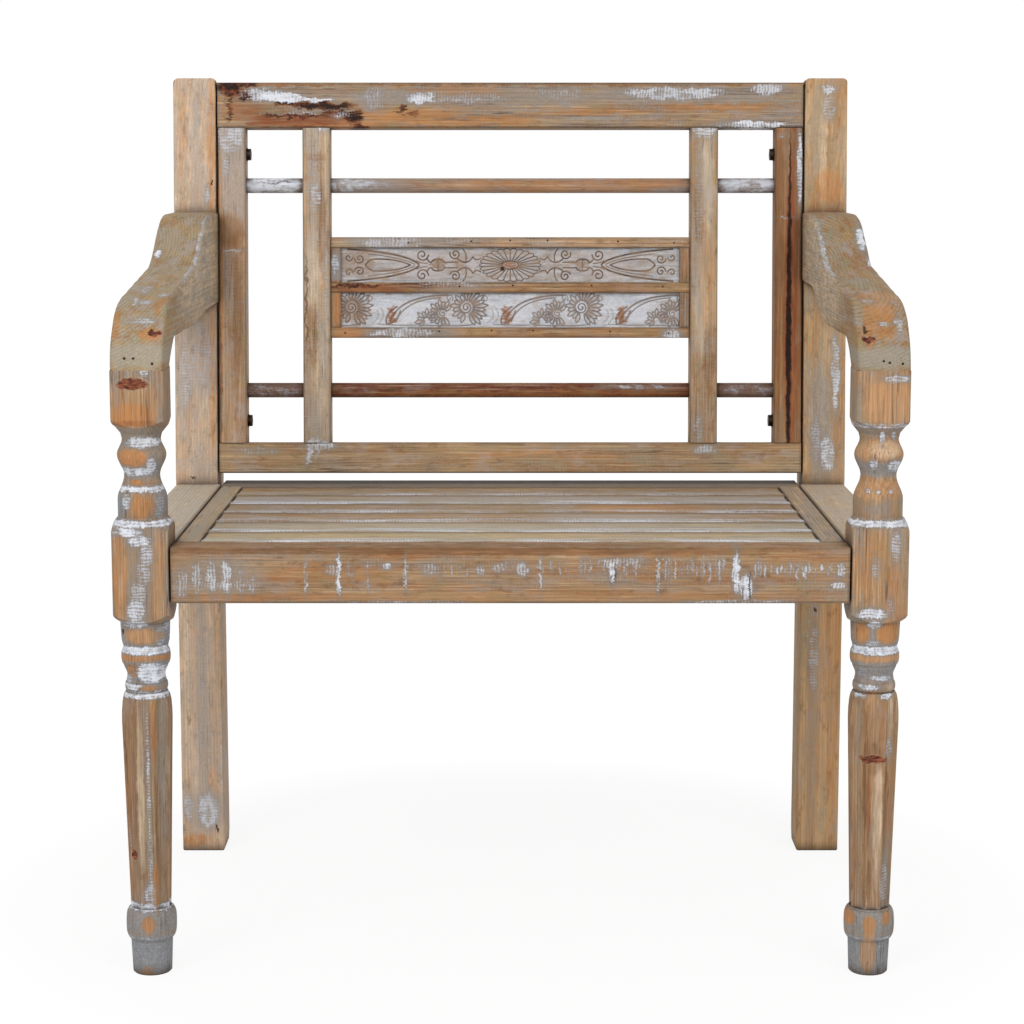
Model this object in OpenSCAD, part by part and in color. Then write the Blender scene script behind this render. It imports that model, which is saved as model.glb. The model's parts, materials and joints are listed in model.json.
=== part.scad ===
// One seat arm bench in solid fir. Two side frames (turned front leg, raked rear post,
// serpentine armrest, side rail) are bolted to a slatted seat panel and a framed back panel.
// Millimetres. X runs to the right seen from the front, Y to the rear, Z up from the floor.
// The origin is on the floor, midway between the outer faces.

/* [Overall] */
// Width over the front leg blocks
bench_w = 798; // [740:2:1300]
// Height of the seat surface above the floor
seat_h = 448; // [425:1:490]
// Depth from the front of the legs to the front face of the rear posts
frame_d = 467; // [430:1:560]
// Backward lean of the back
rake = 5.5; // [2:0.5:9]

/* [Front leg] */
// Side of the square block that takes the rails
leg_w = 57; // [54:0.5:64]
// Side of the square block under the armrest
leg_top_w = 53.5; // [50:0.5:56]
// Height of the armrest joint above the seat
arm_lift = 177; // [168:1:200]
// Flat block face above the rails
block_above = 24; // [20:1:30]
// Flat block face below the rails
block_below = 20; // [16:1:30]
// Radius of the eased block edges
block_edge_r = 2; // [1:0.5:4]
// Height over which the block corners are turned away
shoulder_h = 9.5; // [7:0.5:12]
// Radius of the foot on the floor
foot_r = 20; // [17:0.1:20.5]
// Radius of the top of the foot
foot_top_r = 21.4; // [20.5:0.1:23]
// Height of the foot below the ball
foot_h = 37; // [30:1:50]
// Radius of the ball above the foot
ball_r = 26.4; // [25:0.1:28.5]
// Height of the ball
ball_h = 33; // [28:1:40]
// Distance from the leg axis to the flats on the ball
ball_flat = 24.8; // [24:0.1:25]
// Radius of the fluted shaft at its lower end
shaft_low_r = 21.1; // [20:0.1:23]
// Radius of the fluted shaft at its upper end
shaft_top_r = 26.5; // [25.5:0.1:28.5]
// Height of the rounded top of the shaft
shaft_round_h = 30; // [20:1:40]
// Radius of the gouge that cuts the flutes
flute_r = 24; // [20:1:40]
// Radius of the thin ring above the shaft
ring_r = 21.8; // [20.5:0.1:23.5]
// Height of the thin ring
ring_h = 10; // [8:1:14]
// Radius of the neck above the ring
neck_r = 19.2; // [17:0.1:20]
// Height of the neck
neck_h = 18; // [15:1:26]
// Radius of the bead under the collar
bead_r = 25; // [23:0.1:26]
// Height of the bead
bead_h = 16; // [12:1:18]
// Radius of the collar under the rail block
collar_r = 25.2; // [24:0.1:26.5]
// Height of the collar
collar_h = 30; // [22:1:36]
// Radius of the bell above the rail block
bell_r = 25; // [23:0.1:26]
// Height of the straight part of the bell
bell_h = 22; // [16:1:26]
// Height of the hollow between the bell and the waist
cove_h = 24; // [20:1:28]
// Radius of the waist
waist_r = 18; // [16:0.1:20]
// Radius of the bulb
bulb_r = 24.7; // [22:0.1:26]
// Height from the waist to the middle of the bulb
bulb_low_h = 21; // [18:1:26]
// Height from the middle of the bulb to the throat
bulb_high_h = 16; // [13:1:20]
// Radius of the throat under the armrest block
throat_r = 19.5; // [17:0.1:21]
// Height from the throat to the armrest block
throat_h = 13; // [10:1:16]
// Radius of the round tenon in the armrest
leg_tenon_r = 12; // [9:0.5:14]
// Length of the round tenon
leg_tenon_l = 28; // [20:1:34]

/* [Rear post] */
// Width of the post across the bench
post_w = 50; // [45:1:56]
// How far the inner face of the post lies outside that of the leg
post_out = 4; // [0:0.5:8]
// Depth of the post from the floor to the bend
post_d = 60; // [54:1:70]
// Depth of the post at its top
post_top_d = 42; // [36:1:54]
// Height of the bend above the seat
bend_up = 7; // [0:1:12]
// Post standing above the back panel
post_proud = 5; // [2:1:12]
// Radius of the rounded top corners
post_top_r = 6; // [2:0.5:12]
// Chamfer at the heel of the post
heel = 8; // [3:1:14]

/* [Armrest] */
// Width of the armrest
arm_w = 53; // [46:0.5:57]
// Height of the front of the armrest above its joint
arm_front_h = 70; // [64:1:80]
// Length of the rounded front end
arm_nose_l = 98; // [80:1:110]
// Height of the rear of the armrest above its joint
arm_rear_h = 142; // [130:1:155]
// Rise of the top between the rounded end and the foot of the sweep
arm_slope = 19; // [8:1:24]
// Distance from the front to the foot of the sweep
sweep_start = 275; // [240:1:285]
// Length of the sweep
sweep_l = 140; // [110:1:150]
// Depth of the right armrest at the rear post
arm_heel_right = 82; // [70:1:112]
// Depth of the left armrest at the rear post
arm_heel_left = 107; // [70:1:112]
// Hand clearance under the arm above its joint with the leg
arch_h = 26; // [20:1:34]
// Length of the hollow behind the front leg
arch_l = 52; // [40:1:70]
// Length of the lower sweep
under_sweep_l = 160; // [130:1:175]
// Length of the straight underside next to the post
arm_heel_l = 50; // [30:1:60]

/* [Seat] */
// Height of the front rail and the side rails
rail_h = 57; // [50:1:64]
// Thickness of the front rail
front_rail_t = 38; // [32:1:45]
// Width of the side rails
side_rail_w = 54; // [46:1:57]
// Depth of the rear rail
rear_rail_d = 57; // [45:1:60]
// Height of the rear rail, the end battens and their joint
panel_h = 38; // [34:1:45]
// Rear rail standing behind the front face of the posts
rear_rail_back = 36; // [20:1:44]
// Width of the end battens
end_batten_w = 25; // [22:1:32]
// Thickness of the slats
slat_t = 18; // [15:1:20]
// Gap between slats
slat_gap = 3.5; // [2:0.5:6]
// Radius of the slat edges
slat_edge_r = 5; // [2:0.5:7]
// Thickness of the tongue on the slat ends
tongue_t = 8; // [6:0.5:9]
// Length of the tongue
tongue_l = 10; // [6:0.5:12]
// Width of the bearer under the slats
bearer_w = 44; // [30:1:60]
// Radius of the eased rail edges
rail_edge_r = 3.5; // [1:0.5:6]

/* [Back panel] */
// Height of the back panel along its lean
back_l = 459; // [440:1:500]
// Gap between the bend of the posts and the back panel
back_lift = 6; // [2:1:20]
// Thickness of the back frame
back_t = 30; // [26:1:34]
// Width of the top rail
top_rail_w = 53; // [48:0.5:64]
// Width of the bottom rail
bottom_rail_w = 36; // [32:1:44]
// Width of the outer stiles
stile_w = 32.5; // [28:0.5:38]
// Width of the inner battens
batten_w = 32.5; // [26:0.5:40]
// Open bay between a stile and its batten
bay_w = 67; // [50:0.5:90]
// Radius of the eased frame edges
back_edge_r = 2.5; // [1:0.5:5]
// Radius of the rods
rod_r = 8.7; // [6:0.1:10]
// Lower rod above the bottom of the back panel
rod_low = 98; // [70:1:110]
// Upper rod below the top of the back panel
rod_high = 119.5; // [100:0.5:130]
// Depth of the rod ends in the stiles
rod_socket = 12; // [8:1:16]

/* [Carved panel] */
// Bottom of the carved panel above the bottom of the back panel
carved_up = 160; // [130:1:175]
// Height of one carved field between the strips
field_h = 40.8; // [34:0.1:46]
// Width of the strips
strip_w = 12.2; // [9:0.1:14]
// Thickness of the strips
strip_t = 5; // [3:0.5:6]
// Setback of the strips from the front of the battens
strip_set = 3; // [1:0.5:5]
// Thickness of the carved boards
board_t = 13; // [10:0.5:15]
// Depth of the board ends in the battens
board_house = 7; // [4:0.5:9]

/* [Joints and fasteners] */
// Clearance on each face of a tenon or tongue
tenon_fit = 0.2; // [0.1:0.05:0.4]
// Radial clearance of a round joint
bore_fit = 0.1; // [0.05:0.05:0.25]
// Space left at the bottom of a mortise
mortise_end = 1; // [0.5:0.5:2]
// Gap between the bolted panels and the side frames
panel_gap = 2; // [1:0.5:3]
// Length of the stub tenons
stub_l = 16; // [10:1:22]
// Thickness of the stub tenons
stub_t = 12; // [8:1:14]
// Shoulder at each side of a stub tenon
stub_shoulder = 6; // [4:0.5:8]
// Radius of the dowels in the side rails
dowel_r = 5; // [4:0.5:7]
// Length of a dowel
dowel_l = 56; // [40:1:66]
// Spacing of the two dowels in a joint
dowel_pitch = 28; // [22:1:34]
// Radius of the bolt shanks
bolt_r = 3; // [2.5:0.5:4]
// Radius of the bolt heads
bolt_head_r = 6.8; // [6:0.1:8]
// Thickness of the bolt heads
bolt_head_t = 3.8; // [3:0.1:5]
// Thickness of the washers
washer_t = 1.5; // [1:0.1:2]
// Radius of the washers
washer_r = 7.6; // [7:0.1:9]
// Bolt thread in the insert nut
bolt_bite = 16; // [12:1:19]
// Radius of the insert nuts
insert_r = 5; // [4.6:0.1:6]
// Length of the insert nuts
insert_l = 20; // [16:1:24]
// Lower back bolts above the bottom of the back panel
bolt_low = 62; // [50:1:75]
// Upper back bolts below the top of the back panel
bolt_high = 83; // [75:1:95]
// Seat bolts from the ends of the end battens
seat_bolt_in = 60; // [40:1:90]
// Seat bolts below the seat surface
seat_bolt_down = 28; // [26:0.5:30]
// Radius of the armrest screws
screw_r = 3; // [2.5:0.5:4]
// Length of the armrest screws
screw_l = 80; // [70:1:95]
// Radius of the armrest screw heads
screw_head_r = 6; // [5:0.5:7]
// Thickness of the armrest screw heads
screw_head_t = 4; // [3:0.5:5]
// Length of the wood plugs over the armrest screws
plug_l = 8; // [6:0.5:10]
// Armrest screws below the top of the armrest
screw_down = 41; // [35:1:46]
// Radius of the bearer screws
slat_screw_r = 2; // [1.5:0.25:2.5]
// Length of the bearer screws
slat_screw_l = 30; // [26:1:32]

/* [Hidden] */
$fn = 64;
flute_n = 8;
slat_n = 6;
e = 0.01;

// Plan of the bench
bend_z = seat_h + bend_up;
post_l = back_lift + back_l + post_proud;
post_h = bend_z + post_l * cos(rake);
bench_d = frame_d + post_l * sin(rake) + post_top_d * cos(rake);
y0 = -bench_d / 2;
y_post = y0 + frame_d;
leg_x = (bench_w - leg_w) / 2;
leg_y = y0 + leg_w / 2;
inner_x = bench_w / 2 - leg_w;
post_x = inner_x + post_out;
panel_x = inner_x - panel_gap;
back_x = post_x - panel_gap;

// Heights of the front leg
rail_z = seat_h - rail_h;
block_low_z = rail_z - block_below;
block_high_z = seat_h + block_above;
shaft_z = foot_h + ball_h;
shaft_top_z = block_low_z - collar_h - bead_h - neck_h - ring_h;
ring_top_z = shaft_top_z + ring_h;
neck_top_z = ring_top_z + neck_h;
bead_top_z = neck_top_z + bead_h;
bell_top_z = block_high_z + bell_h;
waist_z = bell_top_z + cove_h;
bulb_z = waist_z + bulb_low_h;
throat_z = bulb_z + bulb_high_h;
block_arm_z = throat_z + throat_h;
leg_h = seat_h + arm_lift;
corner_r = leg_w * 0.72;

// Seat panel
front_rail_y = y0 + front_rail_t;
rear_rail_y = y_post + rear_rail_back - rear_rail_d;
opening_l = rear_rail_y - front_rail_y;
batten_x = panel_x - end_batten_w;
slat_x = batten_x - tenon_fit;
slat_w = (opening_l - (slat_n + 1) * slat_gap) / slat_n;
slat_z = seat_h - slat_t;
panel_z = seat_h - panel_h;
bearer_h = slat_z - panel_z;
stub_z = panel_z + stub_shoulder;
stub_h = bearer_h - stub_shoulder;

// Back panel, measured from the bend along the lean
back_v = back_lift;
back_top_v = back_v + back_l;
stile_v = back_v + bottom_rail_w;
stile_l = back_l - top_rail_w - bottom_rail_w;
stile_x = back_x - stile_w;
carved_x = stile_x - bay_w - batten_w;
rod_vs = [back_v + rod_low, back_top_v - rod_high];
bolt_vs = [back_v + bolt_low, back_top_v - bolt_high];
carved_v = back_v + carved_up;
mid_v = carved_v + strip_w + field_h;
carved_top_v = mid_v + 2 * strip_w + field_h;
board_w = strip_set + strip_t;

// Shapes shared by several pieces

// Rectangle with eased corners, its lower left corner at the origin
module soft_rect(w, h, r) {
    translate([r, 0]) square([w - 2 * r, h]);
    translate([0, r]) square([w, h - 2 * r]);
    for (x = [r, w - r], y = [r, h - r]) translate([x, y]) circle(r);
}

// Bar along X, from its low corner
module bar_x(l, d, h, r) {
    rotate([90, 0, 90]) linear_extrude(l) soft_rect(d, h, r);
}

// Bar along Y, from its low corner
module bar_y(w, l, h, r) {
    translate([0, l, 0]) rotate([90, 0, 0]) linear_extrude(l) soft_rect(w, h, r);
}

// Bar along Z, from its low corner
module bar_z(w, d, h, r) {
    linear_extrude(h) soft_rect(w, d, r);
}

// Round bar along X from x0 to x1
module rod_x(x0, x1, r) {
    translate([x0, 0, 0]) rotate([0, 90, 0]) cylinder(r = r, h = x1 - x0);
}

// Leaning frame of the back: X across, Y into the back, Z along the lean
module leaning() {
    translate([0, y_post, bend_z]) rotate([-rake, 0, 0]) children();
}

// The right side as drawn, the left side mirrored
module side(s) {
    if (s > 0) children();
    else mirror([1, 0, 0]) children();
}

// Outline points of an S curve from one radius to the next
function ease(r0, z0, r1, z1, n) =
    [for (i = [1:n]) let (t = i / n) [r0 + (r1 - r0) * (1 - cos(180 * t)) / 2, z0 + (z1 - z0) * t]];

// Outline points of a bead that swells out of a core radius
function bead(r_in, r_out, z0, z1, n) =
    [for (i = [0:n]) let (a = 180 * i / n)
        [r_in + (r_out - r_in) * sin(a), (z0 + z1) / 2 - (z1 - z0) / 2 * cos(a)]];

// Front leg, drawn round its own axis

// Turned outline from the floor to the tenon
leg_outline = concat(
    [[0, 0], [foot_r - 1.5, 0], [foot_r, 1.5], [foot_top_r, foot_h - 1]],
    bead(foot_top_r + 0.4, ball_r, foot_h, shaft_z - 1, 10),
    [[shaft_low_r, shaft_z], [shaft_top_r, shaft_top_z - shaft_round_h]],
    [for (a = [20:20:80]) [
        shaft_low_r - 0.6 + (shaft_top_r - shaft_low_r + 0.6) * cos(a),
        shaft_top_z - shaft_round_h * (1 - sin(a))]],
    [[ring_r - 1.6, shaft_top_z]],
    bead(ring_r - 1.4, ring_r, shaft_top_z + 1, ring_top_z, 6),
    ease(ring_r - 1.6, ring_top_z, neck_r, ring_top_z + neck_h * 0.4, 3),
    ease(neck_r, ring_top_z + neck_h * 0.4, bead_r - 2.4, neck_top_z, 5),
    bead(bead_r - 2.2, bead_r, neck_top_z, bead_top_z, 8),
    ease(bead_r - 2.4, bead_top_z + 1, collar_r - 0.8, bead_top_z + collar_h * 0.36, 4),
    [[collar_r, block_low_z - 2]],
    [[leg_w / 2, block_low_z], [corner_r, block_low_z + shoulder_h]],
    [[corner_r, block_high_z - shoulder_h], [leg_w / 2, block_high_z]],
    ease(leg_w / 2, block_high_z, bell_r, block_high_z + 5, 3),
    [[bell_r, bell_top_z]],
    ease(bell_r, bell_top_z, waist_r, waist_z, 8),
    ease(waist_r, waist_z, bulb_r, bulb_z, 8),
    ease(bulb_r, bulb_z, throat_r, throat_z, 7),
    [[throat_r + 1.4, throat_z + throat_h * 0.45], [leg_top_w / 2, block_arm_z]],
    [[corner_r, block_arm_z + shoulder_h], [corner_r, leg_h]],
    [[leg_tenon_r, leg_h], [leg_tenon_r, leg_h + leg_tenon_l - 2]],
    [[leg_tenon_r - 2, leg_h + leg_tenon_l], [0, leg_h + leg_tenon_l]]
);

// Distance from the leg axis to the gouge axis where the flutes meet in arrises of radius r
function gouge_x(r) =
    r * cos(180 / flute_n) + sqrt(pow(flute_r, 2) - pow(r * sin(180 / flute_n), 2));

// One flute along the taper of the shaft
module flute() {
    rise = shaft_top_z - shaft_round_h - shaft_z;
    tilt = atan((gouge_x(shaft_top_r) - gouge_x(shaft_low_r)) / rise);
    translate([gouge_x(shaft_low_r), 0, shaft_z])
        rotate([0, tilt, 0])
            cylinder(r = flute_r, h = (shaft_top_z - shaft_z + 2) / cos(tilt));
}

module turned_leg() {
    difference() {
        intersection() {
            rotate_extrude() polygon(leg_outline);
            union() {
                translate([-leg_w / 2, -leg_w / 2, 0])
                    bar_z(leg_w, leg_w, waist_z, block_edge_r);
                translate([-leg_top_w / 2, -leg_top_w / 2, waist_z])
                    bar_z(leg_top_w, leg_top_w, leg_h + leg_tenon_l - waist_z, block_edge_r);
            }
        }
        for (i = [0:flute_n - 1]) rotate(i * 360 / flute_n) flute();
        for (i = [0:flute_n - 1]) rotate(i * 360 / flute_n)
            translate([ball_flat, -ball_r, foot_h]) cube([ball_r, 2 * ball_r, ball_h - 1]);
    }
}

// Dowel places of a side rail joint, as heights
dowel_zs = [for (k = [-1, 1]) rail_z + rail_h / 2 + k * dowel_pitch / 2];
dowel_x = inner_x + side_rail_w / 2;
dowel_half = dowel_l / 2;

// Round space for the dowels, centred on a joint plane
module dowel_bores(y) {
    for (z = dowel_zs) translate([dowel_x, y - dowel_half - mortise_end, z]) rotate([-90, 0, 0])
        cylinder(r = dowel_r + bore_fit, h = dowel_l + 2 * mortise_end);
}

module front_leg(s) {
    color("burlywood") side(s) difference() {
        translate([leg_x, leg_y, 0]) turned_leg();
        dowel_bores(y0 + leg_w);
    }
}

// Rear post

// Depth of the post at a place along the lean
function post_depth(v) = post_d + (post_top_d - post_d) * v / post_l;

// Side view of the post, as Y and Z
post_outline = [
    [y_post, 0], [y_post, bend_z],
    [y_post + post_l * sin(rake), post_h],
    [y_post + post_l * sin(rake) + post_top_d * cos(rake), post_h - post_top_d * sin(rake)],
    [y_post + post_d, bend_z], [y_post + post_d, heel * 1.6], [y_post + post_d - heel, 0]
];

module post_blank() {
    intersection() {
        translate([post_x, 0, 0]) rotate([90, 0, 90]) linear_extrude(post_w)
            polygon(post_outline);
        translate([post_x, y0 + bench_d, -post_top_r]) rotate([90, 0, 0])
            linear_extrude(bench_d) soft_rect(post_w, post_h + post_top_r, post_top_r);
    }
}

module rear_post(s) {
    color("tan") side(s) difference() {
        post_blank();
        dowel_bores(y_post);
        leaning() {
            for (v = bolt_vs) translate([0, back_t / 2, v])
                rod_x(post_x - 1, post_x + insert_l + mortise_end, insert_r + bore_fit);
            translate([arm_x, 0, screw_v]) rotate([-90, 0, 0]) {
                translate([0, 0, -1]) cylinder(r = screw_r + bore_fit, h = post_d);
                translate([0, 0, screw_seat]) cylinder(r = screw_head_r + bore_fit, h = post_d);
            }
        }
    }
}

// Armrest

arm_x = leg_x;
arm_top_z = leg_h + arm_rear_h;
face_slope = tan(rake);
// Front face of the post at a height
function face_y(z) = y_post + (z - bend_z) * face_slope;
// Smooth step from 0 to 1
function s_curve(t) = t <= 0 ? 0 : t >= 1 ? 1 : t * t * (3 - 2 * t);
// Height of the top of the armrest at a distance from the front
function arm_top(d) =
    leg_h + arm_front_h + arm_slope * (d - arm_nose_l) / (sweep_start - arm_nose_l) * (1 - s_curve(
        (d - sweep_start) / sweep_l)) + (arm_rear_h - arm_front_h) * s_curve((d - sweep_start) / sweep_l);
// Rear of the front leg block under the armrest
arch_start = (leg_w + leg_top_w) / 2;
under_sweep_start = frame_d - under_sweep_l - arm_heel_l;
// Height of the underside of an armrest with a given heel, at a distance from the front
function arm_under(d, heel_d) =
    d < arch_start + arch_l
        ? leg_h + arch_h * sin(90 * (d - arch_start) / arch_l)
        : leg_h + arch_h + (arm_rear_h - heel_d - arch_h) * s_curve(
            (d - under_sweep_start) / under_sweep_l);

arm_front_y = (leg_w - leg_top_w) / 2;
// Side view of an armrest with a given heel, as distance from the front and height
function arm_outline(heel_d) = concat(
    [for (a = [0:7.5:82.5]) [
        arm_front_y + arm_nose_l * (1 - cos(a)), leg_h + arm_front_h * sin(a)]],
    [for (d = [arm_front_y + arm_nose_l:14:sweep_start + sweep_l]) [d, arm_top(d)]],
    [[face_y(arm_top_z) - y0, arm_top_z]],
    [[face_y(arm_top_z - heel_d) - y0, arm_top_z - heel_d]],
    [for (d = [under_sweep_start + under_sweep_l:-14:arch_start + arch_l])
        [d, arm_under(d, heel_d)]],
    [for (d = [arch_start + arch_l:-8:arch_start + 1]) [d, arm_under(d, heel_d)]],
    [[arch_start, leg_h]]
);

// Place of the screw that holds the armrest to the post
screw_v = (arm_top_z - screw_down - bend_z) / cos(rake);
screw_seat = post_depth(screw_v) - plug_l - screw_head_t - 1;

module armrest(s, heel_d) {
    color("burlywood") side(s) difference() {
        translate([arm_x - arm_w / 2, y0, 0]) rotate([90, 0, 90]) linear_extrude(arm_w)
            polygon(arm_outline(heel_d));
        translate([leg_x, leg_y, leg_h - 1])
            cylinder(r = leg_tenon_r + bore_fit, h = leg_tenon_l + 1 + mortise_end);
        leaning() translate([arm_x, 0, screw_v]) rotate([90, 0, 0]) translate([0, 0, -1])
            cylinder(r = screw_r + bore_fit, h = screw_l - screw_seat + 2 + mortise_end);
    }
}

// Side rail with its dowel holes and insert nut holes

seat_bolt_ys = [front_rail_y + seat_bolt_in, rear_rail_y - seat_bolt_in];
seat_bolt_z = seat_h - seat_bolt_down;

module side_rail(s) {
    color("tan") side(s) difference() {
        translate([inner_x, y0 + leg_w, rail_z])
            bar_y(side_rail_w, frame_d - leg_w, rail_h, rail_edge_r);
        dowel_bores(y0 + leg_w);
        dowel_bores(y_post);
        for (y = seat_bolt_ys) translate([0, y, seat_bolt_z])
            rod_x(inner_x - 1, inner_x + insert_l + mortise_end, insert_r + bore_fit);
    }
}

// Seat panel

// Stub tenon along Y, or its mortise when grown by a clearance
module seat_stub(x, w, fit) {
    grow = fit > 0 ? mortise_end : 0;
    for (y = [[front_rail_y, -1], [rear_rail_y, 1]])
        translate([x - w / 2 - fit, y[1] < 0 ? y[0] - stub_l - grow : y[0] - e, stub_z - fit])
            cube([w + 2 * fit, stub_l + grow + e, stub_h + 2 * fit]);
}

end_stub_x = panel_x - end_batten_w / 2;

module seat_mortises() {
    for (x = [-end_stub_x, end_stub_x]) seat_stub(x, stub_t, tenon_fit);
    seat_stub(0, bearer_w - 2 * stub_shoulder, tenon_fit);
}

module seat_front_rail() {
    color("peru") difference() {
        translate([-panel_x, y0, rail_z]) bar_x(2 * panel_x, front_rail_t, rail_h, rail_edge_r);
        seat_mortises();
    }
}

module seat_rear_rail() {
    color("peru") difference() {
        translate([-panel_x, rear_rail_y, panel_z])
            bar_x(2 * panel_x, rear_rail_d, panel_h, rail_edge_r);
        seat_mortises();
    }
}

tongue_z = slat_z + (slat_t - tongue_t) / 2;

module seat_end_batten(s) {
    color("tan") side(s) difference() {
        union() {
            translate([batten_x, front_rail_y, panel_z])
                bar_y(end_batten_w, opening_l, panel_h, back_edge_r);
            seat_stub(end_stub_x, stub_t, 0);
        }
        translate([batten_x - 1, front_rail_y - 1, tongue_z - tenon_fit])
            cube([tongue_l + 1 + tenon_fit, opening_l + 2, tongue_t + 2 * tenon_fit]);
        for (y = seat_bolt_ys) translate([0, y, seat_bolt_z])
            rod_x(batten_x - 1, panel_x + 1, bolt_r + bore_fit);
    }
}

// Front edge of a slat, counted from the front
function slat_y(i) = front_rail_y + slat_gap + (i - 1) * (slat_w + slat_gap);

module seat_slat(i) {
    color(i % 2 == 0 ? "wheat" : "burlywood") difference() {
        union() {
            translate([-slat_x, slat_y(i), slat_z]) bar_x(2 * slat_x, slat_w, slat_t, slat_edge_r);
            translate([-slat_x - tongue_l, slat_y(i), tongue_z])
                cube([2 * (slat_x + tongue_l), slat_w, tongue_t]);
        }
        translate([0, slat_y(i) + slat_w / 2, slat_z - 1])
            cylinder(r = slat_screw_r + bore_fit, h = slat_screw_l - bearer_h + 2);
    }
}

module seat_bearer() {
    color("tan") difference() {
        union() {
            translate([-bearer_w / 2, front_rail_y, panel_z])
                bar_y(bearer_w, opening_l, bearer_h, back_edge_r);
            seat_stub(0, bearer_w - 2 * stub_shoulder, 0);
        }
        for (i = [1:slat_n]) translate([0, slat_y(i) + slat_w / 2, panel_z - 1])
            cylinder(r = slat_screw_r + bore_fit, h = bearer_h + 2);
        for (i = [1:slat_n]) translate([0, slat_y(i) + slat_w / 2, panel_z - e])
            cylinder(r1 = 2 * slat_screw_r + bore_fit, r2 = slat_screw_r + bore_fit,
                h = slat_screw_r);
    }
}

// Back panel

// Stub tenons of an upright, or their mortises when grown by a clearance
module back_stubs(x, w, fit) {
    grow = fit > 0 ? mortise_end : 0;
    for (v = [stile_v - stub_l - grow, stile_v + stile_l - e])
        translate([x - w / 2 + stub_shoulder - fit, (back_t - stub_t) / 2 - fit, v])
            cube([w - 2 * stub_shoulder + 2 * fit, stub_t + 2 * fit, stub_l + grow + e]);
}

stile_mid_x = stile_x + stile_w / 2;
batten_mid_x = carved_x + batten_w / 2;

module back_rail(v, w) {
    difference() {
        translate([-back_x, 0, v]) bar_x(2 * back_x, back_t, w, back_edge_r);
        for (x = [-stile_mid_x, stile_mid_x]) back_stubs(x, stile_w, tenon_fit);
        for (x = [-batten_mid_x, batten_mid_x]) back_stubs(x, batten_w, tenon_fit);
    }
}

module back_top_rail() {
    color("peru") leaning() back_rail(back_top_v - top_rail_w, top_rail_w);
}

module back_bottom_rail() {
    color("peru") leaning() back_rail(back_v, bottom_rail_w);
}

module back_stile(s) {
    color("burlywood") side(s) leaning() difference() {
        union() {
            translate([stile_x, 0, stile_v]) bar_z(stile_w, back_t, stile_l, back_edge_r);
            back_stubs(stile_mid_x, stile_w, 0);
        }
        for (v = rod_vs) translate([0, back_t / 2, v])
            rod_x(stile_x - 1, stile_x + rod_socket + mortise_end, rod_r + bore_fit);
        for (v = bolt_vs) translate([0, back_t / 2, v])
            rod_x(stile_x - 1, back_x + 1, bolt_r + bore_fit);
    }
}

module back_batten(s) {
    color("burlywood") side(s) leaning() difference() {
        union() {
            translate([carved_x, 0, stile_v]) bar_z(batten_w, back_t, stile_l, back_edge_r);
            back_stubs(batten_mid_x, batten_w, 0);
        }
        for (v = rod_vs) translate([0, back_t / 2, v])
            rod_x(carved_x - 1, carved_x + batten_w + 1, rod_r + bore_fit);
        translate([carved_x - 1, board_w - tenon_fit, carved_v - tenon_fit])
            cube([board_house + 1 + tenon_fit, board_t + 2 * tenon_fit,
                carved_top_v - carved_v + 2 * tenon_fit]);
    }
}

module back_rod(i) {
    color("silver") leaning() translate([0, back_t / 2, rod_vs[i]])
        rod_x(-stile_x - rod_socket, stile_x + rod_socket, rod_r);
}

module carved_board(v, h) {
    color("lightsteelblue") leaning()
        translate([-carved_x - board_house, board_w, v])
            cube([2 * (carved_x + board_house), board_t, h]);
}

module carved_board_lower() {
    carved_board(carved_v, mid_v + strip_w / 2 - carved_v);
}

module carved_board_upper() {
    carved_board(mid_v + strip_w / 2, carved_top_v - mid_v - strip_w / 2);
}

module panel_strip(v) {
    color("peru") leaning() translate([-carved_x + tenon_fit, strip_set, v])
        bar_x(2 * (carved_x - tenon_fit), strip_t, strip_w, 0.8);
}

module panel_end_strips(s) {
    color("peru") side(s) leaning()
        for (v = [carved_v + strip_w, mid_v + strip_w])
            translate([carved_x - tenon_fit - strip_w, strip_set, v])
                bar_z(strip_w, strip_t, field_h, 0.8);
}

// Fasteners

// Bolt along +X, its head under the given place
module bolt(x0, x1) {
    difference() {
        union() {
            rod_x(x0, x1, bolt_r);
            rod_x(x0 - bolt_head_t, x0, bolt_head_r);
        }
        rod_x(x0 - bolt_head_t - 1, x0 - 1, 2 * bolt_r / sqrt(3), $fn = 6);
    }
}

module washer(x) {
    difference() {
        rod_x(x, x + washer_t, washer_r);
        rod_x(x - 1, x + washer_t + 1, bolt_r + bore_fit);
    }
}

module insert_nut(x) {
    difference() {
        rod_x(x + 0.5, x + 0.5 + insert_l, insert_r);
        rod_x(x, x + 1 + insert_l, bolt_r + bore_fit);
    }
}

// Places of the four bolts that hold the back panel
module back_bolt_places() {
    for (s = [-1, 1], v = bolt_vs) side(s) leaning() translate([0, back_t / 2, v]) children();
}

// Places of the four bolts that hold the seat panel
module seat_bolt_places() {
    for (s = [-1, 1], y = seat_bolt_ys) side(s) translate([0, y, seat_bolt_z]) children();
}

module back_bolts() {
    color("dimgray") back_bolt_places() bolt(stile_x - washer_t, post_x + bolt_bite);
}

module back_washers() {
    color("gray") back_bolt_places() washer(stile_x - washer_t);
}

module back_insert_nuts() {
    color("silver") back_bolt_places() insert_nut(post_x);
}

module seat_bolts() {
    color("dimgray") seat_bolt_places() bolt(batten_x - washer_t, inner_x + bolt_bite);
}

module seat_washers() {
    color("gray") seat_bolt_places() washer(batten_x - washer_t);
}

module seat_insert_nuts() {
    color("silver") seat_bolt_places() insert_nut(inner_x);
}

module rail_dowels() {
    color("wheat") for (s = [-1, 1], y = [y0 + leg_w, y_post], z = dowel_zs)
        side(s) translate([dowel_x, y - dowel_half, z]) rotate([-90, 0, 0])
            cylinder(r = dowel_r, h = dowel_l);
}

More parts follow.
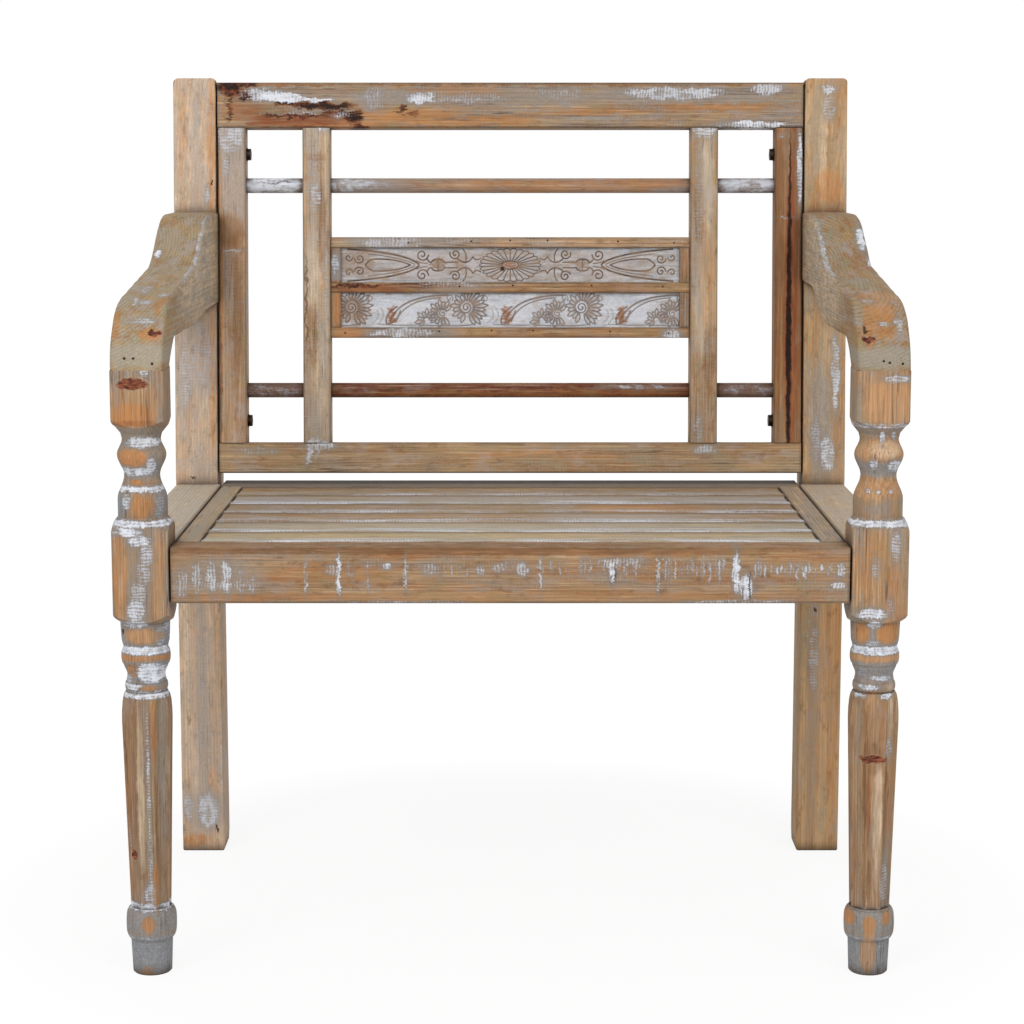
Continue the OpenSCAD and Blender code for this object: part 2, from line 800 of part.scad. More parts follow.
module arm_screws() {
    color("gray") for (s = [-1, 1]) side(s) leaning()
        translate([arm_x, screw_seat, screw_v]) rotate([90, 0, 0]) {
            cylinder(r = screw_r, h = screw_l - 6);
            translate([0, 0, screw_l - 6]) cylinder(r1 = screw_r, r2 = 0.5, h = 6);
            translate([0, 0, -screw_head_t]) cylinder(r = screw_head_r, h = screw_head_t);
        }
}

module arm_plugs() {
    color("peru") for (s = [-1, 1]) side(s) leaning()
        translate([arm_x, screw_seat + screw_head_t, screw_v]) rotate([-90, 0, 0])
            cylinder(r = screw_head_r, h = plug_l);
}

module bearer_screws() {
    color("gray") for (i = [1:slat_n]) translate([0, slat_y(i) + slat_w / 2, panel_z]) {
        cylinder(r = slat_screw_r, h = slat_screw_l - 3);
        translate([0, 0, slat_screw_l - 3]) cylinder(r1 = slat_screw_r, r2 = 0.3, h = 3);
        cylinder(r1 = 2 * slat_screw_r, r2 = slat_screw_r, h = slat_screw_r);
    }
}

front_leg(-1);  // front_leg_left
front_leg(1);  // front_leg_right
rear_post(-1);  // rear_post_left
rear_post(1);  // rear_post_right
armrest(-1, arm_heel_left);  // armrest_left
armrest(1, arm_heel_right);  // armrest_right
side_rail(-1);  // side_rail_left
side_rail(1);  // side_rail_right
seat_front_rail();
seat_rear_rail();
seat_end_batten(-1);  // seat_end_batten_left
seat_end_batten(1);  // seat_end_batten_right
seat_slat(1);  // seat_slat_1
seat_slat(2);  // seat_slat_2
seat_slat(3);  // seat_slat_3
seat_slat(4);  // seat_slat_4
seat_slat(5);  // seat_slat_5
seat_slat(6);  // seat_slat_6
seat_bearer();
back_top_rail();
back_bottom_rail();
back_stile(-1);  // back_stile_left
back_stile(1);  // back_stile_right
back_batten(-1);  // back_batten_left
back_batten(1);  // back_batten_right
back_rod(0);  // back_rod_lower
back_rod(1);  // back_rod_upper
carved_board_lower();
carved_board_upper();
panel_strip(carved_v);  // panel_strip_bottom
panel_strip(mid_v);  // panel_strip_middle
panel_strip(mid_v + strip_w + field_h);  // panel_strip_top
panel_end_strips(-1);  // panel_end_strips_left
panel_end_strips(1);  // panel_end_strips_right
back_bolts();
back_washers();
back_insert_nuts();
seat_bolts();
seat_washers();
seat_insert_nuts();
rail_dowels();
arm_screws();
arm_plugs();
bearer_screws();
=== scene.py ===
"""Small arm bench in whitewashed fir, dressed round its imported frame."""
import json
import math
import random

import bmesh
import bpy
import numpy as np
from mathutils import Matrix, Vector, noise

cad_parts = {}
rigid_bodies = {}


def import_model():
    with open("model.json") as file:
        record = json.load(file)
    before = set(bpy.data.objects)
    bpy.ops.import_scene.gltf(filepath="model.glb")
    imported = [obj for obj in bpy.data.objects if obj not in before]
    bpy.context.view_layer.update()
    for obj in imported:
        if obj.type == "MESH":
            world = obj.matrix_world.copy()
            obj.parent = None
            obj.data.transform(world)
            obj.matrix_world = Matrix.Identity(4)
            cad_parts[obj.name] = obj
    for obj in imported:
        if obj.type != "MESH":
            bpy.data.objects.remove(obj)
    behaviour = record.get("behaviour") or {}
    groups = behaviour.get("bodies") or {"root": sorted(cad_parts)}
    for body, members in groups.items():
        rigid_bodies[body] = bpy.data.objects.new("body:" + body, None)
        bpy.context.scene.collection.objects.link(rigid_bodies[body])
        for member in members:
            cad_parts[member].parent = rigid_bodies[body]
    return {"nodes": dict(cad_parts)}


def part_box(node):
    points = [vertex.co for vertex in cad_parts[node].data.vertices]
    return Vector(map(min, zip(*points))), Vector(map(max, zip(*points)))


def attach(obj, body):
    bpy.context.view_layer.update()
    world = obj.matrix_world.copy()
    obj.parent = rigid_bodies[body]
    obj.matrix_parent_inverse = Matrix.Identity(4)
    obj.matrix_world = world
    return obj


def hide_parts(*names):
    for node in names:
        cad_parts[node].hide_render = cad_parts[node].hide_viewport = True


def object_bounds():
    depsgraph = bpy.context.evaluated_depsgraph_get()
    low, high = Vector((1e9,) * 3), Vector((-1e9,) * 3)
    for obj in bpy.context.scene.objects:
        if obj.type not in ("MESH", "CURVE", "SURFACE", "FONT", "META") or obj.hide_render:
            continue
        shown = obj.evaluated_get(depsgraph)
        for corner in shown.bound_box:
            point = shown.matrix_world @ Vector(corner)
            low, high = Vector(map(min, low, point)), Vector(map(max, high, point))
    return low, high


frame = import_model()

MM = 0.001
CAD_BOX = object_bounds()
NODES = frame["nodes"]

# Places shared by several pieces, in mm: the front of the bench, the joint of leg and armrest,
# the middle of an armrest, the depth up to the rear posts, the height where the posts bend back
FRONT = CAD_BOX[0].y / MM
LEG_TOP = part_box("armrest_left")[0].z / MM
ARM_X = (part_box("armrest_right")[0].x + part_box("armrest_right")[1].x) / 2 / MM
FRAME_D = 467
BEND = 455
RAKE = math.radians(5.5)
LEAN = Matrix.Rotation(-RAKE, 3, "X")

# Where the photograph was taken from: metres before the bench and above the floor, degrees down
CAMERA_AWAY = 2.466
CAMERA_UP = 0.8516
CAMERA_DOWN = 8.476


def place_camera():
    """The pinhole view that was fitted to the photograph."""
    data = bpy.data.cameras.new("camera")
    data.sensor_width = 36
    data.lens = 87.9
    data.shift_x = 0.0017
    data.clip_end = 50
    camera = bpy.data.objects.new("camera", data)
    camera.location = (0, CAD_BOX[0].y - CAMERA_AWAY, CAMERA_UP)
    camera.rotation_euler = (math.radians(90 - CAMERA_DOWN), 0, 0)
    bpy.context.scene.collection.objects.link(camera)
    bpy.context.scene.camera = camera


# Small helpers for materials

def linear(hex_colour):
    """A hex sRGB colour as the linear RGBA that Blender takes."""
    channels = [int(hex_colour[i:i + 2], 16) / 255 for i in (1, 3, 5)]
    return [c / 12.92 if c <= 0.04045 else ((c + 0.055) / 1.055) ** 2.4 for c in channels] + [1]


def add(tree, kind, inputs=None, **settings):
    """A node with its settings, its inputs either values or sockets to link."""
    node = tree.nodes.new(kind)
    for name, value in settings.items():
        setattr(node, name, value)
    for socket, value in (inputs or {}).items():
        if isinstance(value, bpy.types.NodeSocket):
            tree.links.new(value, node.inputs[socket])
        else:
            node.inputs[socket].default_value = value
    return node


def new_material(name):
    material = bpy.data.materials.new(name)
    material.use_nodes = True
    material.node_tree.nodes.clear()
    return material


def principled(tree, inputs):
    """The shader of a material and its output."""
    shader = add(tree, "ShaderNodeBsdfPrincipled", inputs)
    add(tree, "ShaderNodeOutputMaterial", {"Surface": shader.outputs["BSDF"]})


def assign(obj, material):
    obj.data.materials.clear()
    obj.data.materials.append(material)
    for polygon in obj.data.polygons:
        polygon.material_index = 0


# Axes of a piece for each way that the grain runs, the grain's own axis first
GRAIN = {"across": (0, 1, 2), "deep": (1, 0, 2), "up": (2, 1, 0)}

# Reach in mm of a mark that goes through a piece from front to back, or all round a leg
FAR = 1e5
ROUND = 60

# Scale of a wave texture with its waves 1 mm apart
WAVE = 0.314

# Washed wood and chalk paint don't shine
MATT = {"IOR": 1.5, "Specular IOR Level": 0.2}


def piece_box(obj, leaning):
    """Middle of a piece and its half size in mm, upright or in the lean of the back."""
    turn = LEAN if leaning else Matrix.Identity(3)
    points = [turn.transposed() @ v.co for v in obj.data.vertices]
    low = Vector([min(p[i] for p in points) for i in range(3)])
    high = Vector([max(p[i] for p in points) for i in range(3)])
    return turn, turn @ ((low + high) / 2), (high - low) / 2 / MM


class Wood:
    """One wood material while it is being built; places are in mm from the piece's middle.

    flat holds a place as across, deep and up; along holds it with the grain's direction first.
    """

    def __init__(self, name, obj, grain, leaning, seed):
        self.rng = random.Random(seed)
        turn, middle, half = piece_box(obj, leaning)
        self.material = new_material(name)
        self.tree = self.material.node_tree
        self.flat = add(self.tree, "ShaderNodeMapping", {
            "Vector": add(self.tree, "ShaderNodeTexCoord").outputs["Object"],
            "Location": middle, "Rotation": turn.to_euler("XYZ"), "Scale": (MM, MM, MM)},
            vector_type="TEXTURE").outputs["Vector"]
        order = GRAIN[grain]
        self.parts = add(self.tree, "ShaderNodeSeparateXYZ", {0: self.flat}).outputs
        self.along = add(self.tree, "ShaderNodeCombineXYZ", {
            i: self.parts[order[i]] for i in range(3)}).outputs[0]
        self.grain_way = tuple(1.0 if i == order[0] else 0.0 for i in range(3))
        self.half = half

    def vector(self, operation, *inputs):
        node = add(self.tree, "ShaderNodeVectorMath", dict(enumerate(inputs)),
                   operation=operation)
        return node.outputs["Value" if operation == "LENGTH" else "Vector"]

    def math(self, operation, *inputs, clamp=False):
        return add(self.tree, "ShaderNodeMath", dict(enumerate(inputs)), operation=operation,
                   use_clamp=clamp).outputs[0]

    def spread(self, value, low, high, to_low=0.0, to_high=1.0):
        """A value stretched from one range to another and held within it."""
        return add(self.tree, "ShaderNodeMapRange", {
            "Value": value, "From Min": low, "From Max": high, "To Min": to_low,
            "To Max": to_high}).outputs["Result"]

    def mix(self, share, first, second):
        return add(self.tree, "ShaderNodeMix", {0: share, 6: first, 7: second},
                   data_type="RGBA").outputs[2]

    def laid(self, tone, share, colour):
        """A tone under a colour; where there is no such mark it stays as it is."""
        return tone if share is None else self.mix(share, tone, linear(colour))

    def shaded(self, tone, amount):
        """A tone made darker or lighter."""
        return add(self.tree, "ShaderNodeVectorMath", {0: tone, 3: amount},
                   operation="SCALE").outputs["Vector"]

    def grains(self, across, along, detail=3, roughness=0.55, output="Fac"):
        """Noise with spots of a size in mm across and along the grain."""
        shift = tuple(self.rng.uniform(0, 90) for _ in range(3))
        place = self.vector("MULTIPLY_ADD", self.along, (1 / along, 1 / across, 1 / across), shift)
        return add(self.tree, "ShaderNodeTexNoise", {
            "Vector": place, "Scale": 1.0, "Detail": detail,
            "Roughness": roughness}).outputs[output]

    def held_back(self, value, channel, kinds, share, clamp=True):
        """A value that is lower where marks of these kinds lie."""
        for kind in kinds:
            if kind in channel:
                value = self.math("MULTIPLY_ADD", channel[kind], -share, value, clamp=clamp)
        return value

    def total(self, *weighted):
        """The sum of sockets, each with its weight."""
        result = 0.0
        for socket, weight in weighted:
            result = self.math("MULTIPLY_ADD", socket, weight, result)
        return result


def mark_channels(wood, marks, jagged):
    """The share of each kind of mark: ovals given one by one, torn along the fibres.

    Marks come as a kind and its ovals. An oval is its place across and up, its reach across and
    up in mm, its strength, and where it matters its place and reach from front to back.
    """
    lobes = wood.grains(9, 14, 4, 0.68, "Color")
    place = wood.vector("MULTIPLY_ADD", wood.vector("SUBTRACT", lobes, (0.5,) * 3),
                        (jagged * 2.4,) * 3, wood.flat)
    tear = wood.math("SUBTRACT", wood.grains(1.7, 26, 2, 0.6), 0.5)
    torn = add(wood.tree, "ShaderNodeVectorMath", {
        0: tuple(jagged * 2.6 * w for w in wood.grain_way), 3: tear},
        operation="SCALE").outputs["Vector"]
    place = wood.vector("ADD", place, torn)
    channels = {}
    for kind, x, z, reach_x, reach_z, strength, *deep in (
            (kind, *oval) for kind, *ovals in marks for oval in ovals):
        y, reach_y = deep or (0, FAR)
        away = wood.vector("MULTIPLY_ADD", place, (1 / reach_x, 1 / reach_y, 1 / reach_z),
                           (-x / reach_x, -y / reach_y, -z / reach_z))
        distance = wood.vector("LENGTH", away)
        shares = {kind: wood.spread(distance, 1.2, 0.75, 0, strength)}
        if kind == "white":
            shares["halo"] = wood.spread(distance, 1.7, 0.9, 0, 0.85 * strength)
        for layer, share in shares.items():
            channels[layer] = wood.math("MAXIMUM", channels[layer], share) \
                if layer in channels else share
    return channels


def fir(name, obj, grain, leaning=False, seed=0, pale="#c6ab8c", warm="#b48a60",
        grey="#a69c90", wash=0.5, chalk=0.1, ladder=4.0, jagged=6.0, top=0.0, front_line=0.0,
        flutes=False, rings=0.5, clouds=0.35, cracked=0.6, figure=1.0, level=1.0, arris_shade_and_dirt=0.5,
        marks=()):
    """Fir, planed, whitewashed and rubbed back.

    It gives the eye pale and orange-brown bands along the grain, darker ring lines and fine
    cracks, a grey-beige wash that follows the fibres, and cool white chalk paint that stays in
    patches and in the planer marks across the grain.
    """
    wood = Wood(name, obj, grain, leaning, seed)
    channel = mark_channels(wood, marks, jagged)
    bands = wood.grains(10, 230, 3, 0.6)
    streaks = wood.grains(2.3, 90, 3, 0.6)
    fibre = wood.grains(0.9, 34, 3, 0.65)
    cloud = wood.grains(24, 80, 4, 0.62)
    flecks = wood.grains(1.9, 3.2, 3, 0.7)
    planer = add(wood.tree, "ShaderNodeTexWave", {
        "Vector": wood.along, "Scale": WAVE / ladder, "Distortion": 6, "Detail": 2,
        "Detail Scale": 1.2 * ladder / 4}, bands_direction="X").outputs["Fac"]
    chatter = wood.grains(10, ladder * 0.5, 2)

    # Bare wood, with growth rings 3 to 4 mm apart round a pith beside the piece
    pith = (wood.rng.uniform(-30, 30), wood.rng.uniform(25, 60), wood.rng.uniform(-60, -20))
    ring_lines = add(wood.tree, "ShaderNodeTexWave", {
        "Vector": wood.vector("MULTIPLY_ADD", wood.along, (0.02, 1, 1), pith),
        "Scale": WAVE / 3.4, "Distortion": 5, "Detail": 2, "Detail Scale": 0.6,
        "Detail Roughness": 0.6}, wave_type="RINGS", rings_direction="X").outputs["Fac"]
    lines = wood.math("MULTIPLY", wood.spread(ring_lines, 0.55, 0.95),
                      wood.spread(cloud, 0.35, 0.6, 0.1, rings))
    hue = wood.grains(16, 34, 3, 0.6)
    stains = wood.grains(8, 20, 4, 0.65)
    tone = wood.mix(wood.spread(bands, 0.38, 0.62), linear(pale), linear(warm))

    # Dark and pale streaks, the rings, olive and grey clouds, stains, then the marks of bare wood
    for share, colour in (
            (wood.spread(streaks, 0.52, 0.74, 0, 0.55 * figure), "#7b5636"),
            (wood.spread(streaks, 0.46, 0.26, 0, 0.5 * figure), "#dac6aa"),
            (lines, "#86592f"),
            (wood.spread(hue, 0.52, 0.66, 0, clouds), "#938a69"),
            (wood.spread(hue, 0.48, 0.34, 0, clouds), "#a29690"),
            (wood.spread(stains, 0.54, 0.68, 0, 0.6), "#7f6040")):
        tone = wood.laid(tone, share, colour)
    for kind, colour in (("tan", "#b98f62"), ("pale", "#d8c6ac"), ("orange", "#b7803f"),
                         ("brown", "#83603d"), ("burnt", "#8e5220")):
        if kind in channel:
            share = wood.math("MULTIPLY", channel[kind],
                              wood.spread(wood.grains(4, 30, 3), 0.35, 0.6, 0.45, 1.0))
            tone = wood.mix(share, tone, linear(colour))
    if "bark" in channel:
        flakes = wood.grains(4, 7, 4, 0.75)
        bark = wood.mix(wood.spread(flakes, 0.45, 0.66), linear("#35160a"), linear("#8c4c20"))
        tone = wood.mix(channel["bark"], tone, bark)
    tone = wood.shaded(tone, wood.spread(fibre, 0.25, 0.75, 1 - 0.22 * figure,
                                         1 + 0.2 * figure))

    # Wash that follows the fibres
    washed = wood.total((wood.spread(cloud, 0.3, 0.7), 0.7), (wood.spread(streaks, 0.3, 0.7), 0.5),
                        (wood.spread(wood.grains(6, 150), 0.3, 0.7), 0.3),
                        (planer, 0.12), (wood.spread(chatter, 0.3, 0.7), 0.25))
    washed = wood.spread(washed, 1.25 - wash, 1.75 - wash)
    if "halo" in channel:
        channel["halo"] = wood.held_back(channel["halo"], channel, ("bark",), 0.9)
    for kind in ("grey", "halo"):
        if kind in channel:
            washed = wood.math("MAXIMUM", washed, channel[kind])
    washed = wood.held_back(washed, channel, ("orange", "tan", "bark", "burnt", "brown"), 0.8)
    if flutes:
        # Bare wood on the arrises between the eight flutes, wash in the hollows
        turn = wood.math("MULTIPLY", wood.math("ARCTAN2", wood.parts[1], wood.parts[0]), 8.0)
        hollow = wood.spread(wood.math("COSINE", turn), -0.9, 0.2, -0.6, 0.15)
        washed = wood.math("MULTIPLY_ADD", hollow, channel["shaft"], washed, clamp=True)
    wash_tone = wood.shaded(linear(grey)[:3], wood.spread(flecks, 0.3, 0.7, 0.84, 1.14))
    tone = wood.mix(wood.math("MULTIPLY", washed, 0.85), tone, wash_tone)
    tone = wood.laid(tone, wood.math("MULTIPLY", lines, 0.25), "#6e5238")
    if "cool" in channel:
        # Grey-blue paint that hands and weather left thin
        cool = wood.held_back(channel["cool"], channel, ("orange", "tan"), 0.8)
        tone = wood.mix(cool, tone, wood.shaded(
            linear("#8e9399")[:3], wood.spread(flecks, 0.3, 0.7, 0.72, 1.22)))
    if "halo" in channel:
        smeared = wood.math("MULTIPLY", channel["halo"], wood.spread(flecks, 0.3, 0.65, 0.2, 0.75))
        tone = wood.laid(tone, smeared, "#87827f")

    # Fine cracks and dirt along the fibres
    seam = wood.math("ABSOLUTE", wood.math("SUBTRACT", wood.grains(3.4, 170, 1), 0.5))
    cracks = wood.math("MULTIPLY", wood.spread(seam, 0.035, 0.008),
                       wood.spread(cloud, 0.48, 0.62, 0, cracked))
    tone = wood.laid(tone, cracks, "#50381f")
    if arris_shade_and_dirt:
        # Painted shade along the arrises, as if they turned away from the light, with some dirt,
        # where the second nearest side of the piece is close
        gap = [wood.math("SUBTRACT", reach, wood.math("ABSOLUTE", part))
               for reach, part in zip(wood.half, wood.parts)]
        near = wood.math("MAXIMUM", wood.math("MINIMUM", gap[0], gap[1]),
                         wood.math("MINIMUM", wood.math("MAXIMUM", gap[0], gap[1]), gap[2]))
        arris_shade_and_dirt_share = wood.math("MULTIPLY", wood.spread(near, 3.0, 0.5, 0, arris_shade_and_dirt),
                           wood.spread(cloud, 0.35, 0.6, 0.35, 1.0))
        tone = wood.laid(tone, arris_shade_and_dirt_share, "#5a4531")
    tone = wood.shaded(tone, level)

    # Chalk paint: patches broken up by planer marks across the grain, fibres and specks
    tooth = wood.total((planer, 0.25), (wood.spread(chatter, 0.3, 0.7), 0.2),
                       (wood.spread(fibre, 0.3, 0.7), 0.25), (wood.spread(flecks, 0.3, 0.7), 0.3))
    patches = wood.spread(wood.grains(16, 50, 4, 0.6), 0.46, 0.70, -0.15, 0.30 + chalk)
    if "white" in channel:
        thin = wood.spread(wood.grains(7, 16, 3), 0.36, 0.56, 0.74, 1.0)
        patches = wood.math("MAXIMUM", patches, wood.math("MULTIPLY", channel["white"], thin))
    patches = wood.held_back(patches, channel, ("orange", "tan", "bark", "burnt"), 0.3, False)
    if top:
        # The upper face holds the paint
        patches = wood.math("MAXIMUM", patches, wood.spread(
            wood.parts[2], wood.half.z - 1.6, wood.half.z - 0.6, 0, top))
    if front_line:
        # The front arris of a slat holds the paint; near its rear edge lie painted shade of the gap
        # between the slats and a brown stain
        from_front = wood.math("ADD", wood.parts[1], wood.half.y)
        worn = wood.spread(wood.grains(5, 90, 3), 0.3, 0.6, front_line - 0.6, front_line)
        patches = wood.math("MAXIMUM", patches, wood.math(
            "MULTIPLY", wood.spread(from_front, 40, 12), worn))
        gap_shade_and_stain = wood.spread(from_front, wood.half.y * 2 - 22, wood.half.y * 2 - 5, 0, 0.6)
        tone = wood.laid(tone, gap_shade_and_stain, "#6f5335")
    chalked = wood.math("MULTIPLY_ADD", wood.math("SUBTRACT", tooth, 0.5), 1.4, patches)
    chalked = wood.math("MULTIPLY", wood.spread(chalked, 0.40, 0.86),
                        wood.spread(patches, 0.4, 1.0, 0.6, 0.94))
    paint = wood.mix(wood.spread(wood.math("MULTIPLY_ADD", cloud, 0.6, patches), 0.65, 1.25),
                     linear("#9fa8b6"), linear("#d5d8df"))
    tone = wood.mix(chalked, tone, paint)
    if "knot" in channel:
        # A dark swirl in a pale rim
        rim = wood.math("MULTIPLY", wood.spread(channel["knot"], 0.02, 0.35), flecks)
        tone = wood.laid(tone, wood.math("MULTIPLY", rim, 0.5), "#b5a288")
        flames = wood.grains(9, 1.6, 3, 0.6)
        swirl = wood.mix(wood.spread(flames, 0.38, 0.62), linear("#43190d"), linear("#9c5c33"))
        tone = wood.mix(wood.spread(channel["knot"], 0.3, 0.9), tone, swirl)
    tone = wood.laid(tone, channel.get("dark"), "#2a1c14")

    # More contrast and a little less colour in all of it
    tone = add(wood.tree, "ShaderNodeGamma", {"Color": tone, "Gamma": 1.24}).outputs["Color"]
    tone = add(wood.tree, "ShaderNodeHueSaturation", {
        "Color": tone, "Saturation": 0.9, "Value": 1.3}).outputs["Color"]

    # Painted shade, with some dirt, where pieces meet, in recesses and in the turned grooves, taken
    # from ambient occlusion
    open_air = add(wood.tree, "ShaderNodeAmbientOcclusion", {"Distance": 16 * MM},
                   samples=6).outputs["AO"]
    crevice_shade_and_dirt = wood.math("POWER", wood.spread(open_air, 1.0, 0.5), 1.4)
    tone = wood.laid(tone, wood.math("MULTIPLY", crevice_shade_and_dirt, 0.8), "#38281b")

    height = wood.total((fibre, 0.6), (ring_lines, 0.2), (chalked, 0.4))
    bump = add(wood.tree, "ShaderNodeBump", {
        "Strength": 0.55, "Distance": 0.5 * MM, "Height": height}).outputs["Normal"]
    principled(wood.tree, {
        "Base Color": tone, "Roughness": wood.spread(chalked, 0, 1, 0.66, 0.9), "Normal": bump,
        **MATT})
    return wood.material


def chalk_ground(name, obj, face, seed, rubbed, marks):
    """Carved fir under rubbed chalk paint, plain on its rear.

    It gives the eye a cool blue-white ground with slanting brush streaks, painted shade and dirt
    round the gouge strokes, painted shade in their deepest holes, and bare brown wood in them and
    where hands and weather took the paint off. rubbed is the share of paint that is gone from the
    strokes.
    """
    wood = Wood(name, obj, "across", True, seed)
    channel = mark_channels(wood, marks, 9)
    depth = wood.parts[1]
    smudge = wood.grains(7, 16, 4, 0.65)
    flecks = wood.grains(1.6, 3, 3, 0.7)
    slant = wood.vector("MULTIPLY", wood.flat, (0.35, 1, 0.35))
    slant = add(wood.tree, "ShaderNodeMapping", {
        "Vector": slant, "Rotation": (0, math.radians(38), 0), "Scale": (0.12, 1, 1.4)})
    streaks = add(wood.tree, "ShaderNodeTexNoise", {
        "Vector": slant.outputs["Vector"], "Scale": 1.0, "Detail": 3}).outputs["Fac"]
    ground = wood.mix(wood.spread(streaks, 0.35, 0.65), linear("#adb5c0"), linear("#dcdde0"))
    ground = wood.mix(wood.spread(smudge, 0.46, 0.68, 0, 0.8), ground, linear("#a08f7c"))
    for kind, colour in (("bright", "#d3d4dc"), ("worn", "#9a8069"), ("rust", "#a06c48")):
        ground = wood.laid(ground, channel.get(kind), colour)
    ground = wood.shaded(ground, wood.spread(flecks, 0.3, 0.7, 0.84, 1.14))

    # From the face inwards, in mm: painted shade and dirt on the lip of a stroke, bare wood,
    # painted shade in the deepest holes, and plain wood on the sides and the rear of the board
    bare = wood.mix(wood.spread(smudge, 0.4, 0.6), linear("#574538"), linear("#8a6f59"))
    plain = wood.mix(wood.spread(wood.grains(3, 90), 0.36, 0.64), linear("#ab8f70"),
                     linear("#8b6c4c"))
    plain = wood.shaded(plain, wood.spread(wood.grains(0.9, 34), 0.3, 0.7, 0.88, 1.1))
    tone = ground
    for start, end, share, colour in (
            (0.06, 0.25, 0.25, linear("#877867")), (0.25, 0.7, rubbed, bare),
            (1.5, 2.2, 1, linear("#30231b")), (3.0, 3.3, 1, plain)):
        tone = wood.mix(wood.spread(depth, face + start, face + end, 0, share), tone, colour)
    bump = add(wood.tree, "ShaderNodeBump", {
        "Strength": 0.4, "Distance": 0.4 * MM, "Height": flecks}).outputs["Normal"]
    principled(wood.tree, {"Base Color": tone, "Roughness": 0.85, "Normal": bump, **MATT})
    return wood.material


def steel(name, colour, worn, roughness):
    """Plated steel: smooth, mottled with a second tone where it is worn, with a soft gleam."""
    material = new_material(name)
    tree = material.node_tree
    place = add(tree, "ShaderNodeTexCoord").outputs["Object"]
    grime = add(tree, "ShaderNodeTexNoise", {"Vector": place, "Scale": 400, "Detail": 3})
    tone = add(tree, "ShaderNodeMix", {
        0: grime.outputs["Fac"], 6: linear(colour), 7: linear(worn)}, data_type="RGBA")
    principled(tree, {
        "Base Color": tone.outputs[2], "Roughness": roughness, "Metallic": 1.0})
    return material


# Meshes

def new_piece(name, mesh, replaced):
    piece = bpy.data.objects.new(name, mesh)
    bpy.context.scene.collection.objects.link(piece)
    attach(piece, "root")
    if replaced:
        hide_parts(replaced)
    return piece


def finish_mesh(name, bm, crease_degrees=38):
    """A bmesh as a mesh that is smooth but for its sharp edges."""
    bmesh.ops.recalc_face_normals(bm, faces=bm.faces)
    for face in bm.faces:
        face.smooth = True
    for edge in bm.edges:
        edge.smooth = edge.calc_face_angle(0) < math.radians(crease_degrees)
    mesh = bpy.data.meshes.new(name)
    bm.to_mesh(mesh)
    bm.free()
    return mesh


def ease_corners(points, radius):
    """An outline with an arc of four points at each sharp corner."""
    eased = []
    for i, point in enumerate(points):
        before = points[i - 1] - point
        after = points[(i + 1) % len(points)] - point
        turn = math.pi - before.angle(after)
        if turn < math.radians(25):
            eased.append(point)
            continue
        reach = min(radius * math.tan(turn / 2), before.length / 2, after.length / 2)
        start = point + before.normalized() * reach
        end = point + after.normalized() * reach
        for t in (0, 0.33, 0.67, 1):
            eased.append(start * (1 - t) ** 2 + point * 2 * t * (1 - t) + end * t ** 2)
    return eased


def stepped(points, step):
    """An outline with no side longer than a step."""
    walked = []
    for i, point in enumerate(points):
        side = points[(i + 1) % len(points)] - point
        count = max(1, math.ceil(side.length / step))
        walked += [point + side * k / count for k in range(count)]
    return walked


def add_walls(bm, rings):
    """Faces between each ring of vertices and the next."""
    for ring, following in zip(rings, rings[1:]):
        for i in range(len(ring)):
            j = (i + 1) % len(ring)
            bm.faces.new((ring[i], ring[j], following[j], following[i]))


def sawn_piece(name, outline, x_mid, width, softness, cuts):
    """A board sawn to an outline of Y and Z, with worn round arrises, in mm.

    softness gives the radius of the arris at a point; cuts are planes as point and normal, and
    what lies on the normal's side of one is taken off.
    """
    count = len(outline)
    area = sum(a.x * b.y - b.x * a.y for a, b in zip(outline, outline[1:] + outline[:1]))
    inward = []
    for i, point in enumerate(outline):
        along_a = (point - outline[i - 1]).normalized()
        along_b = (outline[(i + 1) % count] - point).normalized()
        normal = (along_a + along_b).normalized().orthogonal() * (1 if area > 0 else -1)
        inward.append(normal / max(0.5, math.sqrt((1 + along_a.dot(along_b)) / 2)))
    bm = bmesh.new()
    rings = []
    arc = [math.radians(a) for a in (0, 22.5, 45, 67.5, 90)]
    for side, angles in ((-1, arc), (1, arc[::-1])):
        for angle in angles:
            ring = []
            for point, normal in zip(outline, inward):
                wear = noise.noise(Vector((point.x / 19, point.y / 19, side * 7.7)))
                radius = softness(point) * (1 + 0.35 * wear)
                place = point + normal * radius * (1 - math.sin(angle))
                x = x_mid + side * (width / 2 - radius * (1 - math.cos(angle)))
                ring.append(bm.verts.new((x * MM, place.x * MM, place.y * MM)))
            rings.append(ring)
    add_walls(bm, rings)
    bm.faces.new(rings[0])
    bm.faces.new(rings[-1][::-1])
    bmesh.ops.triangulate(bm, faces=[f for f in bm.faces if len(f.verts) > 4])
    for point, normal in cuts:
        cut = bmesh.ops.bisect_plane(
            bm, geom=bm.verts[:] + bm.edges[:] + bm.faces[:], plane_co=point * MM,
            plane_no=normal, clear_outer=True, dist=1e-6)
        rim = [e for e in cut["geom_cut"] if isinstance(e, bmesh.types.BMEdge)]
        bmesh.ops.holes_fill(bm, edges=rim)
    return finish_mesh(name, bm)


# Armrests, in mm: width, height at the front, length of the rounded nose, height at the rear, rise
# behind the nose, start and length of the sweep up to the rear, its length on the underside, height
# and length of the arch behind the leg, length of the level heel at the post, start of the arch
ARM_W = 53
ARM_FRONT_H = 70
ARM_NOSE = 98
ARM_REAR_H = 142
ARM_SLOPE = 19
SWEEP_START = 275
SWEEP = 140
UNDER_SWEEP = 160
ARCH_H = 26
ARCH_L = 52
HEEL_L = 50
ARCH_START = 55.25

# Setback of the nose, radius of the worn arrises, how far the outline runs past the joints, and
# the pitch of its points
ARM_SET = 1.75
ARM_ARRIS = 4.2
PAST = 14
PITCH = 7


def s_curve(t):
    t = min(max(t, 0), 1)
    return t * t * (3 - 2 * t)


def post_face(z):
    """Distance from the front to the face of the rear post at a height in mm."""
    return FRAME_D + (z - BEND) * math.tan(RAKE)


